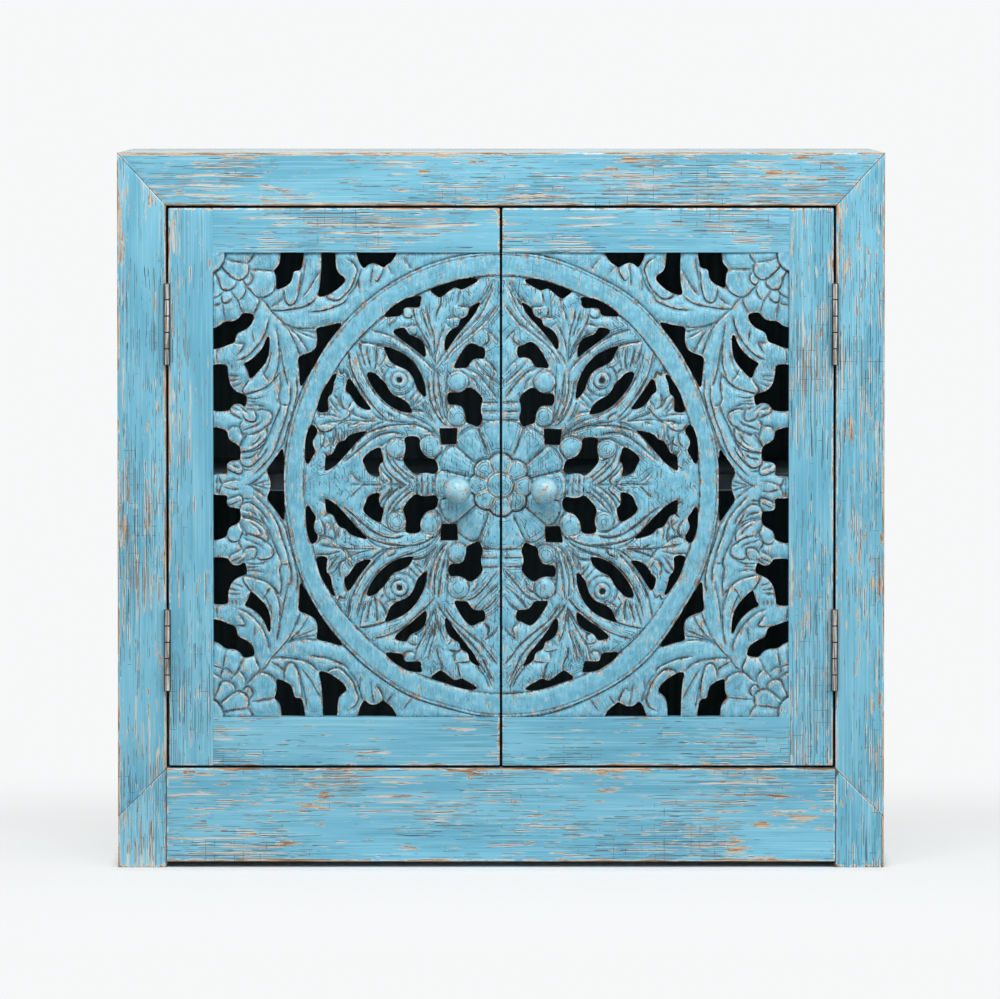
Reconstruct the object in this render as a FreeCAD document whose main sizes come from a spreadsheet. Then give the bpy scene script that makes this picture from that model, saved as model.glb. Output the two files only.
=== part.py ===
import FreeCAD
import Part
import os
import re

# Carved two-door cabinet: +Z up, doors facing -Y, origin under the middle of its bounding box.

# Driving dimensions in millimetres: alias, value, what it measures
SIZES = (
    ("body_width", 900, "width over the face frame"),
    ("body_depth", 400, "face of the frame to the back"),
    ("body_height", 840, "floor to the top"),
    ("frame_thickness", 25, "thickness of the face frame and of the doors"),
    ("stile_width", 57, "face stile"),
    ("top_rail_height", 62, "face top rail"),
    ("apron_height", 110, "apron rail"),
    ("toe_lift", 7, "floor to the underside of the apron"),
    ("side_thickness", 18, "side panel"),
    ("top_thickness", 18, "top board"),
    ("bottom_thickness", 18, "bottom board"),
    ("back_thickness", 6, "back panel"),
    ("shelf_height", 462, "floor to the top of the shelf"),
    ("shelf_thickness", 21, "middle shelf"),
    ("shelf_setback", 9, "shelf edge behind the doors"),
    ("shelf_clearance", 0.5, "shelf end to the side panel"),
    ("cleat_size", 20, "square section of the cleats"),
    ("cleat_inset", 30, "cleat end to the frame and to the back"),
    ("stop_length", 420, "door stop strip"),
    ("stop_thickness", 20, "door stop strip"),
    ("stop_lap", 10, "stop over the top of the doors"),
    ("stop_gap", 0.5, "closed door to the stop"),
    ("dowel_diameter", 8, "frame dowel"),
    ("dowel_length", 40, "frame dowel"),
    ("dowel_clearance", 0.1, "dowel to its hole, all round"),
    ("door_gap", 3, "gap round each door"),
    ("door_stile_width", 52, "hinge stile of a door"),
    ("door_top_rail_height", 52, "top rail of a door"),
    ("door_bottom_rail_height", 57, "bottom rail of a door"),
    ("tenon_length", 32, "rail tenon in the door stile"),
    ("tenon_thickness", 9, "rail tenon"),
    ("tenon_shoulder", 10, "tenon in from the edges of its rail"),
    ("joint_clearance", 0.2, "tenons and tongues to their slots"),
    ("panel_thickness", 13, "ground of the carved panel"),
    ("panel_recess", 6, "ground of the carving behind the door face"),
    ("panel_tongue", 8, "panel edge let into the door frame"),
    ("relief_height", 5, "ring, corner flowers and petals above the ground"),
    ("boss_height", 6, "middle of the flower above the ground"),
    ("knob_diameter", 33, "ball of the knob"),
    ("knob_reach", 36, "knob in front of the door face"),
    ("knob_neck_diameter", 15, "neck of the knob"),
    ("knob_offset", 51, "knob to the seam of the doors"),
    ("knob_height", 445, "floor to the knob"),
    ("knob_screw_diameter", 4, "knob screw"),
    ("knob_screw_bite", 16, "knob screw inside the knob"),
    ("knob_screw_head_diameter", 9, "knob screw head"),
    ("knob_screw_head_height", 3, "knob screw head"),
    ("screw_clearance", 0.1, "screws to their holes, all round"),
    ("hinge_length", 96, "butt hinge"),
    ("hinge_inset", 136, "middle of a hinge to the nearer end of its door"),
    ("leaf_thickness", 1.3, "hinge leaf"),
    ("leaf_width", 22, "hinge leaf behind the face"),
    ("knuckle_diameter", 8, "hinge barrel"),
    ("knuckle_play", 0.3, "between neighbouring knuckles"),
    ("barrel_gap", 0.3, "hinge barrel in front of the face"),
    ("pin_diameter", 4, "hinge pin"),
    ("pin_clearance", 0.05, "pin to its bore, all round"),
    ("hinge_screw_diameter", 2.8, "hinge screw"),
    ("hinge_screw_head_diameter", 5.2, "hinge screw head"),
    ("hinge_screw_length", 16, "hinge screw"),
    ("wood_screw_diameter", 3.2, "back and cleat screw"),
    ("wood_screw_head_diameter", 6.4, "back and cleat screw head"),
    ("wood_screw_head_height", 2, "back and cleat screw head"),
    ("wood_screw_length", 32, "back and cleat screw"),
    ("catch_offset", 14, "catch to the seam of the doors"),
    ("catch_width", 40, "magnetic catch"),
    ("catch_depth", 14, "magnetic catch"),
    ("catch_height", 14, "magnetic catch"),
    ("strike_thickness", 1.2, "strike plate, flush in the door"),
    ("cut_overrun", 1, "cutters past the faces that they cut"),
)

doc = FreeCAD.newDocument("carved_cabinet")
sheet = doc.addObject("Spreadsheet::Sheet", "Sizes")
for row, (alias, value, note) in enumerate(SIZES, start=1):
    sheet.set(f"A{row}", note)
    sheet.set(f"B{row}", str(value))
    sheet.setAlias(f"B{row}", alias)
doc.recompute()

ALIASES = {alias for alias, value, note in SIZES}
nodes = []


def bound(text):
    """Text of a sum in which each size becomes its cell of the sheet."""
    def cell(word):
        return f"Sizes.{word.group()}" if word.group() in ALIASES else word.group()
    return re.sub(r"[a-z_]+", cell, text)


def value_of(text):
    """Number that a sum of sizes comes to."""
    return float(sheet.evalExpression(bound(text)))


def node(label, piece):
    """Gives a finished piece the name of its node."""
    piece.Label = label
    nodes.append(piece)
    return piece


# Planes of the cabinet, as sums of sizes
HALF = "(body_width / 2)"
FRONT = "((knob_reach - body_depth) / 2)"
FRAME_BACK = f"({FRONT} + frame_thickness)"
BACK = "((knob_reach + body_depth) / 2)"
BACK_INSIDE = f"({BACK} - back_thickness)"
SIDE_INSIDE = f"({HALF} - side_thickness)"
INNER = f"({HALF} - stile_width)"
MID_THICKNESS = f"({FRONT} + frame_thickness / 2)"
RAIL_BOTTOM = "(body_height - top_rail_height)"
TOP_UNDER = "(body_height - top_thickness)"
APRON_TOP = "(toe_lift + apron_height)"
SCARF_FOOT = f"({APRON_TOP} - stile_width)"
BOTTOM_UNDER = f"({APRON_TOP} - bottom_thickness)"
SHELF_UNDER = "(shelf_height - shelf_thickness)"
DOOR_TOP = f"({RAIL_BOTTOM} - door_gap)"
DOOR_BOTTOM = f"({APRON_TOP} + door_gap)"
DOOR_OUTER = f"({INNER} - door_gap)"
DOOR_MEETING = "(door_gap / 2)"
FIELD_OUTER = f"({DOOR_OUTER} - door_stile_width)"
FIELD_TOP = f"({DOOR_TOP} - door_top_rail_height)"
FIELD_BOTTOM = f"({DOOR_BOTTOM} + door_bottom_rail_height)"
PANEL_FRONT = f"({FRONT} + panel_recess)"
PANEL_BACK = f"({PANEL_FRONT} + panel_thickness)"
STOP_FRONT = f"({FRAME_BACK} + stop_gap)"
STOP_UNDER = f"({DOOR_TOP} - stop_lap)"
PIN_X = f"({INNER} - door_gap / 2)"
PIN_Y = f"({FRONT} - barrel_gap - knuckle_diameter / 2)"

SIDES = (("left", -1), ("right", 1))
WAYS = {
    "+x": FreeCAD.Rotation(FreeCAD.Vector(0, 1, 0), 90),
    "-x": FreeCAD.Rotation(FreeCAD.Vector(0, 1, 0), -90),
    "+y": FreeCAD.Rotation(FreeCAD.Vector(1, 0, 0), -90),
    "-y": FreeCAD.Rotation(FreeCAD.Vector(1, 0, 0), 90),
    "+z": FreeCAD.Rotation(),
}


def place(piece, x, y, z):
    """Binds the place of a piece to sums of sizes."""
    piece.setExpression("Placement.Base.x", bound(x))
    piece.setExpression("Placement.Base.y", bound(y))
    piece.setExpression("Placement.Base.z", bound(z))
    return piece


def set_sizes(piece, **sums):
    """Binds properties of a piece to sums of sizes."""
    for prop, text in sums.items():
        piece.setExpression(prop, bound(text))
    return piece


def board(name, across, depth, height):
    """Rectangular board between two planes on each axis."""
    box = doc.addObject("Part::Box", name)
    set_sizes(box, Length=f"{across[1]} - ({across[0]})")
    set_sizes(box, Width=f"{depth[1]} - ({depth[0]})")
    set_sizes(box, Height=f"{height[1]} - ({height[0]})")
    return place(box, across[0], depth[0], height[0])


def on_side(side, near, far):
    """The two planes of a piece at near and far from the middle, on the left or right."""
    return (near, far) if side > 0 else (f"-({far})", f"-({near})")


def at_side(side, x):
    """A place at x from the middle, on the left or right."""
    return x if side > 0 else f"-({x})"


def outward(side):
    """Direction from the middle to a side."""
    return "+x" if side > 0 else "-x"


def inward(side):
    """Direction from a side to the middle."""
    return "-x" if side > 0 else "+x"


def rod(name, way, diameter, length, x, y, z):
    """Round rod that starts at a point and runs one way."""
    piece = doc.addObject("Part::Cylinder", name)
    set_sizes(piece, Radius=f"({diameter}) / 2", Height=length)
    piece.Placement.Rotation = WAYS[way]
    return place(piece, x, y, z)


def fused(name, pieces):
    """Several solids as one."""
    piece = doc.addObject("Part::MultiFuse", name)
    piece.Shapes = pieces
    piece.Refine = True
    return piece


def cut(name, base, tools):
    """A solid less its holes and slots."""
    tool = tools[0]
    if len(tools) > 1:
        tool = fused(f"{name}_tools", tools)
    piece = doc.addObject("Part::Cut", name)
    piece.Base = base
    piece.Tool = tool
    return piece


def group(name, pieces):
    """Separate solids kept in one node."""
    piece = doc.addObject("Part::Compound", name)
    piece.Links = pieces
    return piece


def countersunk(name, way, point, diameter, head_diameter, head_height, length):
    """Countersunk screw, or the hole for one: a cone at the surface and a shank."""
    cone = doc.addObject("Part::Cone", f"{name}_head")
    set_sizes(cone, Radius1=f"({head_diameter}) / 2", Radius2=f"({diameter}) / 2", Height=head_height)
    cone.Placement.Rotation = WAYS[way]
    place(cone, *point)
    return fused(name, [cone, rod(f"{name}_shank", way, diameter, length, *point)])


def screw_and_hole(name, way, point, diameter, head_diameter, head_height, length):
    """A countersunk screw and its hole, which is wider by the clearance."""
    screw = countersunk(name, way, point, diameter, head_diameter, head_height, length)
    wider = "2 * screw_clearance"
    hole = countersunk(f"{name}_hole", way, point, f"{diameter} + {wider}", f"{head_diameter} + {wider}",
                       head_height, f"{length} + {wider}")
    return screw, hole


# Face frame: rail, stiles, apron and feet, with dowels across their joints

APRON_DOWEL_SHARES = (0.3, 0.7)


def dowel_and_hole(name, way, x, y, z):
    """A dowel centred on a joint, and its hole."""
    def part(suffix, clearance):
        half = f"(dowel_length / 2 + {clearance})"
        start = (f"{x} - {half}", y, z) if way == "+x" else (x, y, f"{z} - {half}")
        return rod(f"{name}_{suffix}", way, f"dowel_diameter + 2 * {clearance}", f"2 * {half}", *start)
    return part("dowel", "0"), part("hole", "dowel_clearance")


def upright(name, side, outer, inner):
    """Upright board with sloping ends: bottom and top at its outer and at its inner edge."""
    wedge = doc.addObject("Part::Wedge", name)
    planes = (f"-({FRAME_BACK})", f"-({FRONT})") if side < 0 else (FRONT, FRAME_BACK)
    set_sizes(wedge, Xmin=planes[0], Xmax=planes[1], X2min=planes[0], X2max=planes[1])
    set_sizes(wedge, Ymin=f"-({HALF})", Ymax=f"-({INNER})")
    set_sizes(wedge, Zmin=outer[0], Zmax=outer[1], Z2min=inner[0], Z2max=inner[1])
    wedge.Placement.Rotation = FreeCAD.Rotation(FreeCAD.Vector(0, 0, 1), 90 * side)
    return wedge


def mitred_rail(name):
    """Top rail, longer at its top edge by a mitre at each end."""
    wedge = doc.addObject("Part::Wedge", name)
    set_sizes(wedge, Ymin=RAIL_BOTTOM, Ymax="body_height")
    set_sizes(wedge, Xmin=f"-({INNER})", Xmax=INNER, X2min=f"-({HALF})", X2max=HALF)
    set_sizes(wedge, Zmin=f"-({FRAME_BACK})", Zmax=f"-({FRONT})")
    set_sizes(wedge, Z2min=f"-({FRAME_BACK})", Z2max=f"-({FRONT})")
    wedge.Placement.Rotation = FreeCAD.Rotation(FreeCAD.Vector(1, 0, 0), 90)
    return wedge


def frame_hinge_holes_of(hinges, side_name):
    """Holes of the frame leaf's screws on one side."""
    return [hole for hinge in hinges if hinge["side"] == side_name for hole in hinge["frame_holes"]]


def face_frame(hinges):
    """Rail, stiles, apron and feet, bored for dowels and hinge screws."""
    middle = f"({HALF} - stile_width / 2)"
    dowels = []
    rail_holes = []
    apron_holes = []
    for side_name, side in SIDES:
        mitre = dowel_and_hole(f"{side_name}_mitre", "+x", at_side(side, middle), MID_THICKNESS,
                               "(body_height - top_rail_height / 2)")
        scarf = dowel_and_hole(f"{side_name}_scarf", "+z", at_side(side, middle), MID_THICKNESS,
                               f"({APRON_TOP} - stile_width / 2)")
        apron = [dowel_and_hole(f"{side_name}_apron_{number}", "+x", at_side(side, INNER), MID_THICKNESS,
                                f"(toe_lift + apron_height * {share})")
                 for number, share in enumerate(APRON_DOWEL_SHARES)]
        dowels += [mitre[0], scarf[0]] + [pair[0] for pair in apron]
        rail_holes.append(mitre[1])
        apron_holes += [pair[1] for pair in apron]
        stile = upright(f"{side_name}_stile_blank", side, (SCARF_FOOT, "body_height"),
                        (APRON_TOP, RAIL_BOTTOM))
        stile_holes = [mitre[1], scarf[1]] + frame_hinge_holes_of(hinges, side_name)
        node(f"{side_name}_face_stile", cut(f"{side_name}_face_stile", stile, stile_holes))
        foot = upright(f"{side_name}_foot_blank", side, ("0", SCARF_FOOT), ("0", APRON_TOP))
        foot_holes = [scarf[1]] + [pair[1] for pair in apron]
        node(f"{side_name}_front_foot", cut(f"{side_name}_front_foot", foot, foot_holes))
    node("face_top_rail", cut("face_top_rail", mitred_rail("top_rail_blank"), rail_holes))
    apron_blank = board("apron_blank", (f"-({INNER})", INNER), (FRONT, FRAME_BACK), ("toe_lift", APRON_TOP))
    node("apron_rail", cut("apron_rail", apron_blank, apron_holes))
    node("frame_dowels", group("frame_dowels", dowels))


# Case: sides, top, bottom, shelf, back, cleats, stop strip and catches

BACK_SCREW_SHARES = (0.06, 0.28, 0.5, 0.72, 0.94)
CLEAT_SCREW_SHARES = (0.2, 0.8)


def wood_screw(name, way, point):
    """A screw for the back or a cleat, and its hole."""
    return screw_and_hole(name, way, point, "wood_screw_diameter", "wood_screw_head_diameter",
                          "wood_screw_head_height", "wood_screw_length")


def case():
    """Boards behind the face frame."""
    cleat_ends = (f"({FRAME_BACK} + cleat_inset)", f"({BACK_INSIDE} - cleat_inset)")
    cleat_levels = (("floor", BOTTOM_UNDER), ("shelf", SHELF_UNDER))
    back_bottom = f"({BOTTOM_UNDER} - cleat_size)"
    back_screws = []
    back_holes = []
    cleat_screws = []
    for side_name, side in SIDES:
        side_holes = []
        for number, share in enumerate(BACK_SCREW_SHARES):
            point = (at_side(side, f"({HALF} - side_thickness / 2)"), BACK,
                     f"{back_bottom} + ({TOP_UNDER} - {back_bottom}) * {share}")
            screw, hole = wood_screw(f"{side_name}_back_screw_{number}", "-y", point)
            back_screws.append(screw)
            back_holes.append(hole)
            side_holes.append(hole)
        for level_name, level in cleat_levels:
            cleat_holes = []
            for number, share in enumerate(CLEAT_SCREW_SHARES):
                point = (at_side(side, f"({SIDE_INSIDE} - cleat_size)"),
                         f"{cleat_ends[0]} + ({cleat_ends[1]} - {cleat_ends[0]}) * {share}",
                         f"{level} - cleat_size / 2")
                screw, hole = wood_screw(f"{side_name}_{level_name}_screw_{number}", outward(side), point)
                cleat_screws.append(screw)
                cleat_holes.append(hole)
            side_holes += cleat_holes
            blank = board(f"{side_name}_{level_name}_cleat_blank",
                          on_side(side, f"({SIDE_INSIDE} - cleat_size)", SIDE_INSIDE),
                          cleat_ends, (f"{level} - cleat_size", level))
            label = f"{side_name}_{level_name}_cleat"
            node(label, cut(label, blank, cleat_holes))
        panel = board(f"{side_name}_side_blank", on_side(side, SIDE_INSIDE, HALF), (FRAME_BACK, BACK_INSIDE),
                      ("0", TOP_UNDER))
        node(f"{side_name}_side_panel", cut(f"{side_name}_side_panel", panel, side_holes))
        node(f"{side_name}_catch", board(f"{side_name}_catch",
             on_side(side, "catch_offset", "catch_offset + catch_width"),
             (STOP_FRONT, f"{STOP_FRONT} + catch_depth"), (f"{STOP_UNDER} - catch_height", STOP_UNDER)))
    full_width = (f"-({HALF})", HALF)
    clear_width = (f"-({SIDE_INSIDE})", SIDE_INSIDE)
    shelf_end = f"({SIDE_INSIDE} - shelf_clearance)"
    back = board("back_blank", full_width, (BACK_INSIDE, BACK), (back_bottom, TOP_UNDER))
    node("back_panel", cut("back_panel", back, back_holes))
    node("back_screws", group("back_screws", back_screws))
    node("cleat_screws", group("cleat_screws", cleat_screws))
    node("top_board", board("top_board", full_width, (FRAME_BACK, BACK), (TOP_UNDER, "body_height")))
    node("bottom_board", board("bottom_board", clear_width, (FRAME_BACK, BACK_INSIDE),
                               (BOTTOM_UNDER, APRON_TOP)))
    node("middle_shelf", board("middle_shelf", (f"-({shelf_end})", shelf_end),
                               (f"{FRAME_BACK} + shelf_setback", BACK_INSIDE), (SHELF_UNDER, "shelf_height")))
    node("door_stop", board("door_stop", ("-stop_length / 2", "stop_length / 2"),
                            (STOP_FRONT, f"{STOP_FRONT} + stop_thickness"), (STOP_UNDER, TOP_UNDER)))


# Butt hinges: leaves in the gap beside the doors, barrel in front of the face

KNUCKLE_COUNT = 5
HINGE_SCREW_SHARES = (-0.33, 0, 0.33)
LEAF_SCREW_SHARE = 0.58


def hinge_leaf(name, side, plane, knuckles, middle, way, screw_surface):
    """A leaf with its knuckles, its screws and their holes."""
    foot = f"({middle} - hinge_length / 2)"
    step = f"(hinge_length / {KNUCKLE_COUNT})"
    plate_depth = (FRONT, f"{FRONT} + leaf_width")
    solids = [board(f"{name}_plate", plane, plate_depth, (foot, f"{foot} + hinge_length"))]
    for number in knuckles:
        start = f"({foot} + {step} * {number} + knuckle_play / 2)"
        length = f"({step} - knuckle_play)"
        solids.append(rod(f"{name}_knuckle_{number}", "+z", "knuckle_diameter", length,
                          at_side(side, PIN_X), PIN_Y, start))
        solids.append(board(f"{name}_tongue_{number}", plane, (PIN_Y, FRONT), (start, f"{start} + {length}")))
    bore = rod(f"{name}_bore", "+z", "pin_diameter + 2 * pin_clearance", "hinge_length + 2 * cut_overrun",
               at_side(side, PIN_X), PIN_Y, f"{foot} - cut_overrun")
    screws = []
    holes = []
    for number, share in enumerate(HINGE_SCREW_SHARES):
        point = (at_side(side, screw_surface), f"{FRONT} + leaf_width * {LEAF_SCREW_SHARE}",
                 f"{middle} + hinge_length * {share}")
        screw, hole = screw_and_hole(f"{name}_screw_{number}", way, point, "hinge_screw_diameter",
                                     "hinge_screw_head_diameter", "leaf_thickness", "hinge_screw_length")
        screws.append(screw)
        holes.append(hole)
    node(name, cut(name, fused(f"{name}_blank", solids), [bore] + holes))
    return screws, holes


def build_hinges():
    """The four hinges; gives the screws and holes of each leaf."""
    hinges = []
    levels = (("upper", f"({DOOR_TOP} - hinge_inset)"), ("lower", f"({DOOR_BOTTOM} + hinge_inset)"))
    frame_knuckles = range(0, KNUCKLE_COUNT, 2)
    door_knuckles = range(1, KNUCKLE_COUNT, 2)
    for side_name, side in SIDES:
        for level_name, middle in levels:
            prefix = f"{side_name}_{level_name}"
            frame_face = f"({INNER} - leaf_thickness)"
            door_face = f"({DOOR_OUTER} + leaf_thickness)"
            frame_plane = on_side(side, frame_face, INNER)
            door_plane = on_side(side, DOOR_OUTER, door_face)
            frame_screws, frame_holes = hinge_leaf(f"{prefix}_frame_leaf", side, frame_plane, frame_knuckles,
                                                   middle, outward(side), frame_face)
            door_screws, door_holes = hinge_leaf(f"{prefix}_door_leaf", side, door_plane, door_knuckles,
                                                 middle, inward(side), door_face)
            node(f"{prefix}_hinge_pin", rod(f"{prefix}_hinge_pin", "+z", "pin_diameter", "hinge_length",
                                            at_side(side, PIN_X), PIN_Y, f"{middle} - hinge_length / 2"))
            hinges.append({"side": side_name, "frame_screws": frame_screws, "frame_holes": frame_holes,
                           "door_screws": door_screws, "door_holes": door_holes})
    frame_screws = [screw for hinge in hinges for screw in hinge["frame_screws"]]
    node("frame_hinge_screws", group("frame_hinge_screws", frame_screws))
    return hinges


# Pierced openings of the carving, traced by hand in the picture's pixels over the upper left quarter

SEAM_PIXEL = 502.5
STILE_PIXEL = 213
MIDDLE_PIXEL = 484.5
FIELD_TOP_PIXEL = 251
OPENING_PIXELS = (
    # between the ring and the top rail
    ((282, 254), (306, 255), (303.5, 260), (301.5, 269), (294, 269), (293, 276), (291.5, 280.5), (287, 284.5),
     (280, 287.5), (277, 288), (277.5, 280), (277, 274), (274.5, 269.5), (279, 265.5), (281.5, 260.5)),
    ((323, 254), (336, 254), (336.5, 264.5), (338.5, 272), (347.5, 277.5), (342.5, 284), (336.5, 289),
     (328, 294), (318.5, 296), (321, 287), (322, 279), (323, 265.5)),
    ((358, 255), (369.5, 255), (389, 254), (399, 253), (394, 259.5), (387.5, 263.5), (385.5, 266),
     (383, 264.5), (376, 261), (369.5, 262.5), (366, 266.5), (364, 265.5), (360.5, 259.5)),
    # between the ring and the stile
    ((212, 328), (218.5, 326.5), (225, 320.5), (233.5, 321), (240, 317.5), (243, 312), (249, 312.5),
     (253.5, 313.5), (254, 317), (251, 324), (244, 329), (236, 332), (235, 341.5), (227.5, 343.5),
     (218.5, 347.5), (214, 348.5)),
    ((269.5, 335), (270, 341.5), (269, 353.5), (265.5, 362), (260.5, 368), (253, 376), (250, 377.5),
     (249, 372), (246.5, 366), (244, 363), (251, 360), (260.5, 351.5), (265.5, 343.5), (267.5, 337.5)),
    ((213, 365), (227.5, 363), (227.5, 371), (229, 382.5), (234.5, 390.5), (244, 394), (247, 396),
     (246, 402.5), (244.5, 406), (240.5, 402.5), (233.5, 403), (230, 407), (228.5, 410.5), (215, 410.5)),
    ((213.5, 426.5), (227, 429.5), (227.5, 435.5), (229.5, 440.5), (237, 444), (239.5, 447), (240.5, 451),
     (240, 456), (239.5, 459.5), (231.5, 460), (227, 462), (226, 467.5), (227.5, 473.5), (218.5, 473),
     (214, 474.5)),
    ((317, 327), (328, 325.5), (342.5, 321.5), (341.5, 324.5), (331, 337.5), (323, 349.5), (316, 363),
     (307.5, 375.5), (302.5, 385.5), (301, 383.5), (300.5, 368), (298.5, 356), (307.5, 353.5),
     (316, 349.5), (319, 342.5), (318.5, 333)),
    # inside the ring, round the three-lobed leaf and the stems
    ((432, 289), (437.5, 286.5), (447.5, 283), (460, 279), (470, 277), (481.5, 278), (476.5, 282),
     (468, 286), (464, 288.5), (457, 285), (451.5, 289), (445.5, 294), (441.5, 296.5), (436.5, 292.5)),
    ((385, 316), (391, 308.5), (398.5, 303), (408.5, 297), (417, 295.5), (423.5, 295), (422, 299.5),
     (421.5, 306.5), (411.5, 305.5), (404.5, 306.5), (403.5, 314.5), (394, 315)),
    ((393.5, 329.5), (405.5, 326.5), (407.5, 328.5), (410.5, 334), (419, 336.5), (425, 341.5),
     (427, 347.5), (427.5, 353.5), (426.5, 356.5), (421, 351.5), (410.5, 343.5), (400.5, 336.5)),
    ((482.5, 301), (481.5, 303.5), (476.5, 313.5), (468, 323), (460, 333), (452.5, 343.5), (448.5, 350),
     (447, 347.5), (447.5, 339.5), (450.5, 332), (456, 327.5), (461.5, 326), (462.5, 318), (471, 315.5),
     (472, 306.5)),
    ((455.5, 367.5), (461, 357), (467, 347.5), (473, 342), (477.5, 343.5), (481.5, 346), (487.5, 347),
     (487, 358), (481.5, 357), (475.5, 358), (472, 362), (469.5, 367), (463, 366.5)),
    ((450, 391), (458, 393), (466, 391), (471.5, 386), (479.5, 391), (485.5, 398.5), (483.5, 403.5),
     (482.5, 410), (485, 418), (483, 422.5), (480.5, 426.5), (475.5, 424), (468.5, 422), (468.5, 414),
     (465, 405.5), (458, 403.5), (450, 404)),
    ((442, 428), (442.5, 428), (458.5, 428), (459, 428), (458.5, 443), (458, 443.5), (444.5, 444),
     (444, 443.5)),
    ((385, 345.5), (394, 348), (406.5, 353.5), (417, 363), (424, 375.5), (427, 386.5), (428, 398),
     (421, 390.5), (419, 387.5), (416, 377.5), (410.5, 369.5), (402.5, 366), (395.5, 363), (391, 359),
     (388, 350.5)),
    ((367.5, 371), (377, 372.5), (381, 377.5), (386, 381.5), (390, 388.5), (394, 394.5), (401.5, 397),
     (409.5, 402), (412.5, 408), (414, 412), (406.5, 411.5), (398.5, 409), (390, 404), (381, 395.5),
     (372.5, 384)),
    ((349.5, 377), (346.5, 390.5), (351, 392.5), (354, 397.5), (358.5, 404.5), (365.5, 408.5), (373, 409),
     (369.5, 404.5), (360.5, 392.5), (353, 380)),
    ((336.5, 372), (328, 383.5), (323, 392.5), (319, 405), (318, 411.5), (329.5, 411.5), (328.5, 403.5),
     (328.5, 395.5), (333.5, 392), (334.5, 381), (337.5, 375)),
    ((312, 423.5), (316.5, 426.5), (318.5, 432), (313.5, 438.5), (313, 444.5), (316.5, 451), (312, 457),
     (309.5, 463), (306.5, 463), (306, 447), (307.5, 434.5)),
    ((327, 456), (329.5, 455.5), (334, 454), (337.5, 446), (340.5, 441.5), (346.5, 440.5), (350.5, 434.5),
     (365, 431), (368.5, 431), (360.5, 437.5), (351, 449), (343.5, 457), (337.5, 464), (326, 471.5),
     (326.5, 465.5)),
    ((381.5, 446), (382.5, 452), (385, 460.5), (381, 463), (379.5, 469.5), (381.5, 477.5), (369.5, 473.5),
     (367, 465.5), (363.5, 459.5), (370.5, 452)),
    ((406, 437.5), (412.5, 435.5), (421.5, 437), (421, 444.5), (423, 451), (429, 458), (437.5, 459),
     (440.5, 468.5), (437, 474), (430, 472), (422, 472.5), (418.5, 475.5), (411.5, 469.5), (404.5, 460),
     (407.5, 453), (408, 444.5)),
)
# One opening crosses the middle of the door: its upper half
MIDDLE_OPENING_PIXELS = ((284, 470), (284, 446), (279, 454), (270.5, 465.5), (267, 471), (271.5, 479.5))
RING_OUTER_PIXELS = (216.5, 233)
RING_INNER_PIXELS = (202, 214)
FLOWER_RADIUS_PIXELS = 56
BOSS_RADIUS_PIXELS = 32
CORNER_RADIUS_PIXELS = 60


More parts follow.
